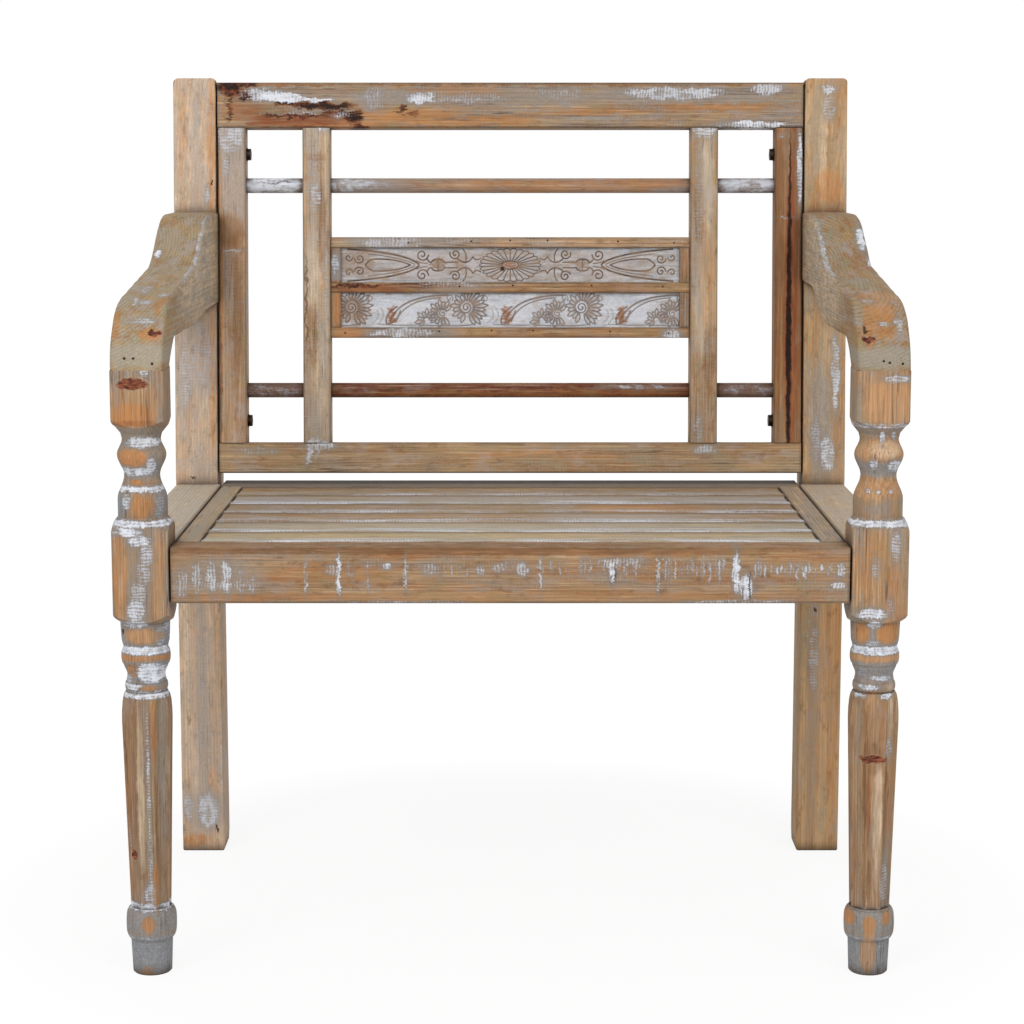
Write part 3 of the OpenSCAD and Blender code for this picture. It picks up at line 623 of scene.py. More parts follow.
def arm_top(d):
    swept = s_curve((d - SWEEP_START) / SWEEP)
    slope = ARM_SLOPE * (d - ARM_NOSE) / (SWEEP_START - ARM_NOSE) * (1 - swept)
    return LEG_TOP + ARM_FRONT_H + slope + (ARM_REAR_H - ARM_FRONT_H) * swept


def arm_under(d, heel):
    if d < ARCH_START + ARCH_L:
        return LEG_TOP + ARCH_H * math.sin(math.pi / 2 * (d - ARCH_START) / ARCH_L)
    start = FRAME_D - UNDER_SWEEP - HEEL_L
    return LEG_TOP + ARCH_H + (ARM_REAR_H - heel - ARCH_H) * s_curve((d - start) / UNDER_SWEEP)


def arm_outline(heel):
    """Side view of an armrest, run on past its joints with the leg and the post."""
    top = LEG_TOP + ARM_REAR_H
    under = top - heel
    points = [(ARM_SET, LEG_TOP - PAST)]
    for i in range(13):
        a = math.radians(7.5 * i)
        points.append((ARM_SET + ARM_NOSE * (1 - math.cos(a)),
                       LEG_TOP + ARM_FRONT_H * math.sin(a)))
    d = ARM_SET + ARM_NOSE + PITCH
    while d < SWEEP_START + SWEEP:
        points.append((d, arm_top(d)))
        d += PITCH
    points.append((post_face(top) + PAST, top))
    points.append((post_face(under) + PAST, under))
    d = FRAME_D - HEEL_L
    while d > ARCH_START + ARCH_L:
        points.append((d, arm_under(d, heel)))
        d -= PITCH
    for i in range(7):
        d = ARCH_START + ARCH_L * (1 - i / 6)
        points.append((d, arm_under(d, heel)))
    points.append((ARCH_START, LEG_TOP - PAST))
    return [Vector((FRONT + y, z)) for y, z in points]


def build_arms():
    """Both armrests; the heel at the post is deeper on the left, as in the photograph."""
    top = LEG_TOP + ARM_REAR_H
    cuts = [(Vector((0, 0, LEG_TOP)), Vector((0, 0, -1))),
            (Vector((0, FRONT + post_face(top), top)),
             Vector((0, math.cos(RAKE), -math.sin(RAKE))))]
    for side, x, heel in (("left", -ARM_X, 107), ("right", ARM_X, 82)):
        name = "worn_armrest_" + side
        mesh = sawn_piece(name, arm_outline(heel), x, ARM_W, lambda point: ARM_ARRIS, cuts)
        new_piece(name, mesh, "armrest_" + side)


# Rear posts, in mm: width, depth below and at the top, length above the bend, bevel at the foot
POST_W = 50
POST_D = 60
POST_TOP_D = 42
POST_L = 470
POST_HEEL = 8


def build_posts():
    top = BEND + POST_L * math.cos(RAKE)
    lean_y = POST_L * math.sin(RAKE)
    outline = [(0, 0), (0, BEND), (lean_y, top),
               (lean_y + POST_TOP_D * math.cos(RAKE), top - POST_TOP_D * math.sin(RAKE)),
               (POST_D, BEND), (POST_D, POST_HEEL * 1.6), (POST_D - POST_HEEL, 0)]
    outline = [Vector((FRONT + FRAME_D + y, z)) for y, z in outline]
    outline = stepped(ease_corners(outline, 2), 14)

    def softness(point):
        """Arrises of 2 mm, and rounder ones at the top."""
        return 2.0 + 3.6 * s_curve((point.y - top + 9) / 8)

    for side in ("left", "right"):
        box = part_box("rear_post_" + side)
        name = "worn_rear_post_" + side
        mesh = sawn_piece(name, outline, (box[0].x + box[1].x) / 2 / MM, POST_W, softness, [])
        new_piece(name, mesh, "rear_post_" + side)


# Carved boards: gouge strokes drawn with formulas, cut into a fine grid. A stroke is its points,
# its width and its depth in mm.

def arc(x, y, reach_x, reach_y, start, end, count=14):
    """Points of an elliptic arc, angles in degrees."""
    return [(x + reach_x * math.cos(math.radians(a)), y + reach_y * math.sin(math.radians(a)))
            for a in (start + (end - start) * i / count for i in range(count + 1))]


def scroll(x, y, radius, start, turns, count=22):
    """A curl that winds in to its eye; negative turns wind the other way."""
    return [(x + radius * (1 - 0.8 * t) * math.cos(math.radians(start) + 2 * math.pi * turns * t),
             y + radius * (1 - 0.8 * t) * math.sin(math.radians(start) + 2 * math.pi * turns * t))
            for t in (i / count for i in range(count + 1))]


def bow(start, middle, end, count=12):
    """A smooth curve that leaves start towards middle and ends at end."""
    return [tuple(start[k] * (1 - t) ** 2 + middle[k] * 2 * t * (1 - t) + end[k] * t ** 2
                  for k in (0, 1)) for t in (i / count for i in range(count + 1))]


def petal(x, y, angle, near, far, width):
    """The outline of a petal that points away from a centre."""
    a = math.radians(angle)
    out = (math.cos(a), math.sin(a))
    across = (-out[1], out[0])

    def place(r, w):
        return (x + out[0] * r + across[0] * w, y + out[1] * r + across[1] * w)

    half = width / 2
    return (bow(place(near, 0), place(near + (far - near) * 0.55, half * 1.7), place(far, 0), 7) +
            bow(place(far, 0), place(near + (far - near) * 0.55, -half * 1.7), place(near, 0), 7))


def daisy_strokes():
    """The long field: a daisy between scrolls, barrels and pointed leaves, alike on both sides."""
    petals = 26

    def place(reach_x, reach_z, i):
        """A place on an oval round the middle, i petals on."""
        a = 2 * math.pi * i / petals
        return (reach_x * math.cos(a), reach_z * math.sin(a))

    strokes = []
    for i in range(petals):
        side = place(33, 18, i + 0.5)
        strokes.append(([place(11.5, 6, i + 0.5), side], 0.62, 0.95))
        strokes.append((bow(side, place(40, 21.8, i + 1), place(33, 18, i + 1.5), 5), 0.6, 0.9))
    strokes.append((arc(0, 0, 10, 4.8, 0, 360, 28), 0.7, 1.1))
    strokes.append((arc(0, 0, 5.5, 2.2, 0, 360, 18), 0.5, 0.6))
    strokes.append((arc(-9.2, -4.2, 1.2, 1.2, 0, 360, 8), 1.3, 2.6))
    bows = (
        ((35, 8), (41, 4), (44, 10), 0.7, 1.0), ((44, 10), (47, 4), (53, 3), 0.7, 1.0),
        ((36, 2), (40, 1), (44, 10), 0.5, 0.5), ((53, 3), (60, 4), (62, 7.5), 0.8, 1.0),
        ((56, 19), (50, 12), (53, 3), 0.7, 0.9), ((62, 3), (72, 3.6), (78, 3), 0.7, 1.0),
        ((78, 3), (79, 7), (85.5, 6.8), 0.8, 1.1), ((85.5, 6.8), (92, 7), (93, 3), 0.8, 1.1),
        ((93, 3), (96, 3), (98, 7), 0.8, 1.0), ((98, 2), (106, 2), (111, 5), 0.7, 0.8),
        ((108, 1), (122, 14), (192, 19), 0.9, 1.25), ((113, 1), (128, 9), (168, 13), 0.6, 0.8),
        ((118, 0), (134, 8), (162, 7), 0.8, 1.0), ((162, 7), (168, 5), (171, 0), 0.8, 1.0))
    curls = ((65, 13, 6.6, -70, -1.4, 1.1), (104, 12, 7.4, 90, 1.35, 1.1),
             (178, 7.5, 6.0, -90, -1.3, 1.0), (191, 9, 5.0, 90, 1.0, 0.9))
    for s in (-1, 1):
        for v in (-1, 1):
            for *points, width, deep in bows:
                strokes.append((bow(*((s * x, v * z) for x, z in points)), width, deep))
            for x, z, radius, start, turns, deep in curls:
                strokes.append((scroll(s * x, v * z, radius, 90 + s * start, s * v * turns),
                                0.7, deep))
        strokes.append(([(s * 85.5, -6), (s * 85.5, 6)], 0.6, 0.8))
        for x in (82, 89):
            strokes.append((arc(s * x, 0, 2.6, 3.6, 0, 360, 14), 0.5, 0.5))
    return strokes


def blossom(x, z, angles, near, far, width, deep):
    """Petals round a centre, each with a vein, every second one a little longer."""
    strokes = []
    for i, angle in enumerate(angles):
        a = math.radians(angle)
        reach = far + (3 if i % 2 else 0)
        strokes.append((petal(x, z, angle, near, reach, width), 0.75, deep))
        strokes.append(([(x + r * math.cos(a), z + r * math.sin(a))
                         for r in (near + 2, near + (reach - near) * 0.6)], 0.5, deep * 0.5))
    return strokes


def vine_strokes():
    """The other field: one cluster of blossoms after another on a running vine."""
    strokes = []
    pitch = 136
    flowers = ((8, 3, range(-64, 96, 14), 8, 23, 5.6, 1.1),
               (8, 3, range(112, 262, 20), 7, 16, 5.4, 1.0),
               (-21, -4, range(40, 320, 20), 5, 14, 5.2, 1.0),
               (-39, -12, range(10, 220, 26), 3, 11, 4.6, 0.9))
    curls = ((8, 3, 7, 200, 1.6, 0.75, 1.1), (-20, -4, 5, 20, 1.4, 0.65, 1.0),
             (-12, 14, 4.6, -40, 1.2, 0.6, 0.9), (30, 13, 4.6, 200, -1.2, 0.6, 0.8))
    stems = (((-82, -14), (-72, 17), (-14, 17.5), 18, 0.9, 1.2),
             ((-75, -14), (-66, 12), (-22, 14.5), 18, 0.7, 1.0),
             ((-86, -17), (-90, -6), (-74, 4), 12, 0.9, 1.1),
             ((-86, -17), (-74, -15), (-70, -1), 12, 0.9, 1.1),
             ((-96, -17), (-60, -19), (-44, -17), 12, 0.6, 0.8),
             ((16, -17), (2, -20), (-44, -18), 12, 0.7, 0.9),
             ((38, 0), (44, -9), (33, -15), 12, 0.5, 0.6),
             ((43, 2), (50, -8), (40, -16), 12, 0.5, 0.6))
    for k in range(-2, 3):
        middle = -60 + pitch * k
        for x, *flower in flowers:
            strokes += blossom(middle + x, *flower)
        for x, z, radius, start, turns, width, deep in curls:
            strokes.append((scroll(middle + x, z, radius, start, turns), width, deep))
        for *points, count, width, deep in stems:
            strokes.append((bow(*((middle + x, z) for x, z in points), count), width, deep))
    return strokes


def cut_depth(strokes, xs, zs):
    """Depth in mm of the strokes at each point of a grid."""
    depth = np.zeros((len(xs), len(zs)))
    for points, width, deep in strokes:
        points = np.array(points)
        margin = 3 * width
        low, high = points.min(axis=0) - margin, points.max(axis=0) + margin
        i0, i1 = np.searchsorted(xs, (low[0], high[0]))
        j0, j1 = np.searchsorted(zs, (low[1], high[1]))
        if i0 == i1 or j0 == j1:
            continue
        gx, gz = np.meshgrid(xs[i0:i1], zs[j0:j1], indexing="ij")
        nearest = np.full(gx.shape, 99.0)
        for a, b in zip(points[:-1], points[1:]):
            side = b - a
            along = ((gx - a[0]) * side[0] + (gz - a[1]) * side[1]) / max(side @ side, 1e-9)
            along = np.clip(along, 0, 1)
            nearest = np.minimum(nearest, np.hypot(gx - a[0] - along * side[0],
                                                   gz - a[1] - along * side[1]))
        groove = deep * np.exp(-(nearest / width) ** 2)
        depth[i0:i1, j0:j1] = np.maximum(depth[i0:i1, j0:j1], groove)
    return depth


# Half of the carved field, its offset towards the middle strip, and the pitch of the grid, in mm
FIELD_X = -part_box("panel_end_strips_left")[1].x / MM + 0.2
FIELD_Z = 20.4
FIELD_SHIFT = 3.05
GRID = 0.8


def carved_board(node, strokes, shift):
    """A board with its strokes cut into the field between the strips."""
    turn, middle, half = piece_box(NODES[node], True)
    xs, zs = (np.linspace(-half[i], half[i], round(2 * half[i] / GRID) + 1) for i in (0, 2))
    depth = cut_depth(strokes, xs, zs - shift)
    inside = (np.abs(xs)[:, None] < FIELD_X) & (np.abs(zs - shift)[None, :] < FIELD_Z)
    depth = np.where(inside, depth, 0)
    wide, tall = len(xs), len(zs)
    gx, gz = np.meshgrid(xs, zs, indexing="ij")
    front = np.stack([gx, depth - half[1], gz], axis=-1).reshape(-1, 3)
    rear = [(x, half[1], z) for x, z in ((-half[0], -half[2]), (half[0], -half[2]),
                                         (half[0], half[2]), (-half[0], half[2]))]
    places = [middle + turn @ Vector(p) * MM for p in front.tolist() + rear]
    faces = [(i * tall + j, (i + 1) * tall + j, (i + 1) * tall + j + 1, i * tall + j + 1)
             for i in range(wide - 1) for j in range(tall - 1)]
    last = len(front)
    bottom = list(range(0, last, tall))
    top = list(range(tall - 1, last, tall))
    left = list(range(tall))
    right = list(range(last - tall, last))
    faces += [(*bottom[::-1], last, last + 1), (*top, last + 2, last + 3),
              (*left, last + 3, last), (*right[::-1], last + 1, last + 2),
              (last, last + 3, last + 2, last + 1)]
    mesh = bpy.data.meshes.new("relief_" + node)
    mesh.from_pydata(places, [], faces)
    for polygon in mesh.polygons:
        polygon.use_smooth = len(polygon.vertices) == 4
    mesh.update()
    piece = new_piece("relief_" + node, mesh, node)
    return piece, -half[1]


def build_carving():
    """Both boards, each with its own paint, worn here and bright there."""
    daisy_marks = (
        ("worn", (-182, 0, 24, 20, 0.7), (-8, -2, 30, 20, 0.45), (0, -6, 240, 24, 0.42),
         (185, 0, 14, 16, 0.4), (-85, -2, 9, 7, 0.9), (85, -2, 9, 7, 0.8), (56, 0, 22, 18, 0.4)),
        ("bright", (-104, -2, 30, 16, 1), (-42, -2, 8, 8, 0.9), (110, -2, 30, 14, 0.6)),
        ("rust", (-1, -3, 10, 4.5, 0.7), (-58, 0, 7, 12, 0.35)))
    vine_marks = (
        ("worn", (-186, 2, 18, 16, 0.7), (-58, 3, 30, 14, 0.15), (180, 3, 16, 14, 0.15)),
        ("bright", (0, 2, 240, 24, 0.4), (-120, 2, 26, 10, 0.8), (14, 2, 20, 12, 0.8),
         (160, 0, 26, 12, 0.8)),
        ("rust", *((x, -4, 5, 11, 0.9) for x in (-140, -4, 132))))
    for node, strokes, shift, seed, rubbed, marks in (
            ("carved_board_upper", daisy_strokes(), -FIELD_SHIFT, 71, 0.95, daisy_marks),
            ("carved_board_lower", vine_strokes(), FIELD_SHIFT, 72, 0.7, vine_marks)):
        piece, face = carved_board(node, strokes, shift)
        assign(piece, chalk_ground("chalk_paint_" + node, piece, face, seed, rubbed, marks))


# Plugs over the armrest screws, and brads in the strips and in the armrest fronts

def add_round(bm, place, out, profile, count):
    """A round closed form on a face: rings of a radius and a height off the face, in mm."""
    turn = out.to_track_quat("Z", "Y").to_matrix()
    rings = []
    for radius, height in profile:
        rings.append([bm.verts.new(place + turn @ Vector((
            radius * math.cos(a), radius * math.sin(a), height)) * MM)
            for a in (2 * math.pi * i / count for i in range(count))])
    add_walls(bm, rings)
    bm.faces.new(rings[0][::-1])
    bm.faces.new(rings[-1])


def add_brad(bm, place, out, radius, height):
    """The domed head of a brad."""
    dome = ((1, -0.4), (1, 0.25), (0.8, 0.75), (0.4, 1))
    add_round(bm, place, out, [(radius * r, height * h) for r, h in dome], 12)


def build_plugs():
    """Plugs sanded nearly flush with the rear of the posts, past the ends of their solids."""
    bm = bmesh.new()
    out = LEAN @ Vector((0, 1, 0))
    reach, chamfer = 1.5, 0.4
    for side in (-1, 1):
        places = [v.co for v in NODES["arm_plugs"].data.vertices if v.co.x * side > 0]
        depths = [place.dot(out) for place in places]
        rim = [place for place in places if place.dot(out) > max(depths) - 0.1 * MM]
        centre = sum(rim, Vector()) / len(rim)
        radius = max((place - centre).length for place in rim) / MM
        length = (max(depths) - min(depths)) / MM
        add_round(bm, centre, out, ((radius, -length), (radius, reach - chamfer),
                                    (radius - chamfer, reach)), 32)
    name = "sanded_arm_plugs"
    new_piece(name, finish_mesh(name, bm), "arm_plugs")


def build_brads(metal):
    """Brads along the strips, and three in the front of each armrest."""
    strip_brads, arm_brads = bmesh.new(), bmesh.new()
    out = LEAN @ Vector((0, -1, 0))
    for node, places in (("panel_strip_top", (-120, -46, 0, 44, 127, 193)),
                         ("panel_strip_middle", (-190, -60, 3, 96, 180)),
                         ("panel_strip_bottom", (-195, -84, -22, 27, 118, 187))):
        turn, middle, half = piece_box(NODES[node], True)
        for i, x in enumerate(places):
            across = 2.5 * math.sin(7 * i + half[2])
            place = middle + turn @ Vector((x, -half[1], across)) * MM
            add_brad(strip_brads, place, out, 1.1, 0.35)
    for side, places in ((-1, ((-11.5, 12), (-2.6, 12), (16, 7))),
                         (1, ((-0.9, 9.5), (5.1, 8), (17.9, 7)))):
        for x, up in places:
            rise = math.asin(up / ARM_FRONT_H)
            place = Vector((side * ARM_X + x, FRONT + ARM_SET + ARM_NOSE * (1 - math.cos(rise)),
                            LEG_TOP + up)) * MM
            add_brad(arm_brads, place, Vector((0, -1, 0)), 1.3, 0.3)
    for name, bm in (("strip_brads", strip_brads), ("arm_brads", arm_brads)):
        assign(new_piece(name, finish_mesh(name, bm), None), metal)


# Which way the grain runs in each kind of piece, and whether the piece leans with the back
WOOD = {
    "front_leg": ("up", False), "rear_post": ("up", False), "armrest": ("deep", False),
    "side_rail": ("deep", False), "seat_front": ("across", False), "seat_rear": ("across", False),
    "seat_end": ("deep", False), "seat_slat": ("across", False), "seat_bearer": ("deep", False),
    "back_top": ("across", True), "back_bottom": ("across", True), "back_stile": ("up", True),
    "back_batten": ("up", True), "back_rod": ("across", True), "panel_strip": ("across", True),
    "panel_end": ("up", True), "rail_dowels": ("deep", False), "arm_plugs": ("deep", False),
}


def dashes(first, last, pitch, z, reach_z, strength):
    """Marks of chalk left by a planer: short lines across the grain, a pitch apart."""
    count = int((last - first) / pitch) + 1
    return (("white", *(
        (first + pitch * i + 1.3 * math.sin(5 * i), z + 2.5 * math.sin(3 * i),
         1.5 + 0.6 * math.sin(2 * i), reach_z + 3 * math.cos(7 * i),
         strength + 0.1 * math.sin(4 * i)) for i in range(count))),)


# Finish of each piece: what it shares with its like, then its own colours, amounts and marks
LEG = dict(pale="#9f8a70", warm="#9c7651", grey="#928c84", wash=0.45, chalk=0.07, ladder=3.3,
           jagged=2.2, flutes=True, rings=0.35, arris_shade_and_dirt=0)
LEG_MARKS = (
    ("brown", (0, -142, 90, 108, 0.3)),
    ("white", (0, -306, ROUND, 24, 0.34), (0, 15, ROUND, 4.5, 1), (0, 145, ROUND, 3.5, 0.95),
     (0, -286, ROUND, 1.8, 0.6)),
    ("shaft", (0, -142, 90, 112, 1)),
    ("grey", (0, -268, ROUND, 14, 0.85), (0, -305, ROUND, 22, 1)),
    ("cool", (0, -304, ROUND, 24, 0.75), (0, -268, ROUND, 14, 0.45), (0, 199, ROUND, 8, 0.45),
     (0, 8, ROUND, 36, 0.42)),
)
POST = dict(rings=0.15, arris_shade_and_dirt=0, chalk=0.06, ladder=3.6)
RAIL = dict(level=1.27, figure=0.7, clouds=0.45, arris_shade_and_dirt=0.3, cracked=0.2, top=0.3)
ARM = dict(chalk=0.04, rings=0.6, clouds=0.85, cracked=0.2, figure=0.55, arris_shade_and_dirt=0)
SLAT = dict(level=1.24, clouds=0.7, ladder=3.0, arris_shade_and_dirt=0.6)
BATTEN = dict(level=1.16, clouds=0.6, rings=0.25, figure=0.75)
ROD = dict(arris_shade_and_dirt=0, ladder=40)
FINISH = {
    "front_leg_left": dict(LEG, marks=LEG_MARKS + (
        ("white", (-12, 137, 16, 5, 0.95), (0, 128, 13, 6, 0.9), (7, 115, 8, 14, 0.72),
         (3, 96, 8, 15, 0.66), (-2, 76, 9, 15, 0.66), (-5, 57, 10, 14, 0.8), (-13, 166, 5, 9, 0.75),
         (19, 160, 5, 13, 0.5), (0, 179, ROUND, 3.2, 0.95), (-6, 197, 22, 5, 0.9),
         (12, 204, 5, 9, 0.85), (3, 226, 20, 6, 0.9), (8, 297, 5, 4, 0.8), (-20, 274, 3.5, 15, 0.5),
         (-10, 43, 20, 4, 0.85), (24, 34, 5, 10, 0.7), (-17, -16, 5, 7, 0.7), (8, -8, 19, 12, 1),
         (17, 30, 6, 12, 0.62), (-12, -23, 13, 3.5, 0.85), (0, -31, ROUND, 4, 0.95),
         (2.6, -120, 1.7, 80, 0.7), (3, -205, 2, 44, 0.6), (2, -240, 7, 12, 0.75),
         (0, -254, ROUND, 4, 0.95)),
        ("orange", (-20, 90, 7, 50, 0.6), (3, 162, 13, 12, 0.8), (-4, 186, 5, 2.6, 0.9),
         (-6, 210, 16, 10, 0.9), (-6, 254, 24, 12, 0.9), (0, 7, ROUND, 3, 0.9),
         (-11, -6, 7, 7, 0.9), (4, -24, 9, 3, 0.9), (9, -66, 3, 36, 0.7), (8, -232, 4, 26, 0.85),
         (-17, -100, 2.5, 60, 0.4), (0, -271, 7, 9, 0.9), (-3, -322, 8, 6, 0.7)),
        ("tan", (18, 90, 7, 50, 0.5), (-2, 270, 28, 20, 0.6), (2, 30, 20, 8, 0.9)),
        ("grey", (-20, 163, 6, 12, 0.9), (0, 236, 30, 7, 0.8), (22, 262, 5, 30, 0.7),
         (16, 212, 8, 14, 0.8), (0, 194, 34, 7, 0.7), (6, 165, 5, 12, 0.5), (14, 26, 12, 14, 0.6),
         (4, -210, 5, 50, 0.7), (19, -120, 7, 100, 0.8)),
        ("knot", (-4, 285, 17, 6.5, 1), (-14, -200, 4, 5, 1)),
        ("burnt", (-2, 246, 26, 3, 0.6)),
        ("dark", (-21, 33, 1.5, 3, 0.9)),
        ("cool", (20, 30, 9, 14, 0.8), (-22, 30, 6, 12, 0.7), (-22, 160, 8, 16, 0.7),
         (20, 164, 7, 14, 0.6)),
        ("brown", (-12, -150, 3, 70, 0.7), (12, -180, 2.5, 60, 0.6)),
        ("pale", (-5, -130, 3.5, 80, 0.6)),
    )),
    "front_leg_right": dict(LEG, pale="#a88e6c", warm="#a67e54", marks=LEG_MARKS + (
        ("tan", (4, 268, 24, 27, 0.95), (0, 218, 30, 11, 0.8), (0, 178, 30, 10, 0.6),
         (0, 7, ROUND, 3.4, 0.9), (-4, -90, 12, 60, 0.6), (-3, -302, 9, 24, 0.95)),
        ("grey", (-24, 262, 3, 30, 0.7), (0, 200, 30, 9, 0.75), (0, 238, 30, 6, 0.8),
         (-22, 218, 6, 16, 0.7), (22, 180, 5, 22, 0.6), (-6, 159, 12, 5, 0.7), (22, 96, 5, 46, 0.6),
         (8, 34, 18, 12, 0.6), (0, 20, ROUND, 5, 0.7), (0, -6, ROUND, 9, 0.8),
         (-15, -80, 6, 34, 0.7), (18, -190, 6, 80, 0.9), (-4, -12, 22, 5, 0.7),
         (0, -60, 8, 26, 0.5)),
        ("white", (12, 290, 15, 4, 0.95), (0, 243, ROUND, 2.6, 0.8), (0, 231, 3.2, 8, 0.9),
         (12, 233, 2.2, 6, 0.8), (25, 231, 3.2, 8, 0.9), (-8, 205, 4.5, 7, 0.85),
         (14, 202, 9, 7, 0.85), (-12.6, 177, 2.2, 2.2, 1), (-2.6, 177, 2.2, 2.2, 1),
         (10.4, 177, 2.2, 2.2, 1), (23.4, 177, 2.2, 2.2, 1), (15, 122, 5, 19, 0.75),
         (-4.6, 101, 4.5, 12, 0.7), (11, 62, 4.5, 9, 0.6), (-7, 54, 17, 6, 0.95),
         (4, 17, ROUND, 2.4, 0.7), (-6, 23, 10, 3, 0.6), (-14, -8, 5, 6, 0.5), (-4, 43, 9, 4, 0.8),
         (4, -14, 13, 2.4, 0.8), (-8, -23, 11, 2.6, 0.9), (10, -32, 7, 3, 0.95),
         (-16, -32, 6, 2.5, 0.9), (14, -88, 3.5, 13, 0.85), (12, -228, 5, 24, 0.62)),
        ("pale", (4, 219, 16, 9, 0.5), (4, -160, 4.5, 70, 0.8), (15, -60, 3, 60, 0.6)),
        ("orange", (-8, 100, 24, 40, 0.4), (14, 80, 12, 50, 0.4), (-16, 33, 6, 12, 0.95),
         (10, 33, 12, 12, 0.95), (15, -130, 4, 60, 0.6), (-23, -266, 6, 8, 0.9),
         (-3, -271, 7, 10, 0.85), (15, -265, 5, 8, 0.9)),
        ("cool", (14, -10, 12, 10, 0.6)),
        ("knot", (-2, -97, 15, 4.5, 1)),
        ("brown", (-9, -120, 3, 60, 0.9), (-2, -97, 11, 20, 0.7), (11, -140, 2.5, 60, 0.8),
         (-4, -225, 3, 24, 0.8)),
        ("burnt", (-6, -150, 2, 40, 0.6)),
    )),
    "rear_post_left": dict(POST, cracked=0.2, figure=0.6, level=1.03, pale="#cfb89f",
        warm="#c29c76", grey="#b3a69a", marks=(
        ("white", (6, -412, 15, 24, 0.85), (-17, -408, 5, 22, 0.7), (2, -260, 5, 200, 0.42),
         (0, 140, 22, 46, 0.55), (-14, 112, 9, 40, 0.62), (14, 325, 3.5, 10, 0.7),
         (3, 420, 3, 20, 0.5)),
        ("grey", (0, -410, 26, 30, 0.8), (2, 300, 8, 170, 0.8), (2, -260, 8, 210, 0.7),
         (0, 10, 40, 9, 0.8)),
        ("orange", (-9, -448, 17, 8, 0.9), (21, 250, 5, 240, 0.35)),
        ("dark", (17, -434, 2.2, 4, 0.9), (21, 339, 1.6, 3, 0.9), (-4, -7, 5, 1.5, 0.9)),
    )),
    "rear_post_right": dict(POST, cracked=0.15, clouds=0.4, figure=0.55, level=1.06, pale="#bd9f76",
        warm="#a97e4c", grey="#a59781", wash=0.4, marks=(
        ("white", (3, 449, 10, 5, 0.8), (3, 428, 8, 16, 0.6), (13, 115, 5, 50, 0.8),
         (4, 22, 10, 22, 0.82), (-10, 40, 5, 30, 0.6), (-8, -250, 5, 190, 0.46),
         (-8, -225, 6, 46, 0.74)),
        ("orange", (5, 336, 15, 20, 0.7), (16, -200, 8, 250, 0.45)),
        ("grey", (-11, 400, 7, 60, 0.8), (-8, -240, 8, 210, 0.8), (-2, 0, 12, 170, 0.6)),
        ("pale", (-3, 380, 5, 70, 0.5)),
        ("cool", (-6, 60, 14, 70, 0.4)),
        ("tan", (-4, -300, 14, 150, 0.5)),
        ("dark", (-8, -165, 2, 3, 0.8)),
    )),
    "side_rail_left": dict(RAIL, pale="#b3a68f", warm="#ad9678", grey="#aaa295", wash=0.75),
    "side_rail_right": dict(RAIL, pale="#b1a189", warm="#a98e6e", grey="#a89d8d", wash=0.7),
    "armrest_left": dict(ARM, pale="#aa9266", warm="#9a7646", grey="#a39b8b", marks=(
        ("white", (-19, 30, 4, 7, 1, 64, 11), (-5, 3, 5, 7, 0.72, -128, 26),
         (-8, -6, 3.5, 5, 0.72, -183, 18), (4, -7, 9, 3, 0.72, -188, 7),
         (16, 0, 5, 4, 0.72, -160, 14), (2, -24, 16, 3, 0.62, -221, 14),
         (23.5, 30, 2, 80, 0.75, 60, 150)),
        ("grey", (0, -22, 24, 6, 0.7, -218, 20), (0, -56, 40, 13, 1),
         (-6, 45, 14, 16, 0.7, 90, 40)),
        ("orange", (14, -36, 12, 6, 0.9), (-22, -28, 4, 14, 0.6), (16, -12, 5, 10, 0.6, -190, 30)),
        ("knot", (18, -35, 7, 3.2, 1)),
        ("pale", (27, 20, 3, 90, 0.75, 60, 190)),
    )),
    "armrest_right": dict(ARM, level=0.95, pale="#a68c5e", warm="#9a7140", grey="#9f988a",
        wash=0.42, marks=(
        ("white", (21, 46, 5, 16, 1, 92, 42), (25, 20, 3, 10, 0.9, 40, 20),
         (-10, -7, 7, 4, 0.78, -185, 10), (17, -8, 4, 4, 0.7, -188, 8), (16, -28, 4, 10, 0.74),
         (2, -27, 7, 2.6, 0.78), (-23.5, 30, 2, 60, 0.75, 60, 130)),
        ("orange", (2, -18, 16, 10, 0.75, -210, 20), (-14, -30, 5, 20, 0.6), (-2, -34, 18, 7, 0.6)),
        ("tan", (4, -6, 20, 16, 0.7, -180, 50)),
        ("knot", (-14, -41, 8, 3.5, 1)),
        ("dark", (-19, -33, 2.5, 4, 0.8)),
        ("grey", (0, -58, 40, 12, 1)),
        ("pale", (-27, 20, 3, 90, 0.75, 60, 190)),
    )),
    "seat_front_rail": dict(level=0.84, pale="#b5966f", warm="#ab7c4c", grey="#a89a8a", wash=0.35,
        chalk=0.03, ladder=3.2, jagged=3, top=0.12, rings=0.35, cracked=0.3, clouds=0.45, marks=(
        ("brown", (-60, 25, 320, 4, 0.7)),
        ("burnt", (-114, 23, 9, 4, 0.45)),
        ("grey", (-290, 0, 44, 20, 0.85), (-330, -6, 12, 18, 0.7)),
        ("white", (-328, -8, 7, 16, 0.58), (-314, -2, 5, 19, 0.62), (-299, -1, 5.5, 19, 0.72),
         (-284, -1, 5.5, 20, 0.76), (-270, -6, 4, 14, 0.58), (-258, -9, 4, 9, 0.55),
         (-285, -9, 38, 5, 0.5), (-205, -2, 1.5, 20, 0.75), (-172, 0, 2.4, 24, 0.9),
         (-179, 6, 8, 5, 0.7), (-160, 5, 5, 6, 0.6), (-143, 0, 1.8, 16, 0.62),
         (-124, 10, 5, 4, 0.75), (-105, 4, 1.8, 22, 0.72), (-80, 6, 8, 6, 0.62),
         (-30, 6, 5, 5, 0.7), (-10, 8, 8, 5, 0.68), (12, 6, 7, 7, 0.72), (31, 2, 1.8, 18, 0.72),
         (102, 4, 4, 13, 0.85), (110, 15, 24, 3.5, 0.68), (148, 0, 1.8, 22, 0.7),
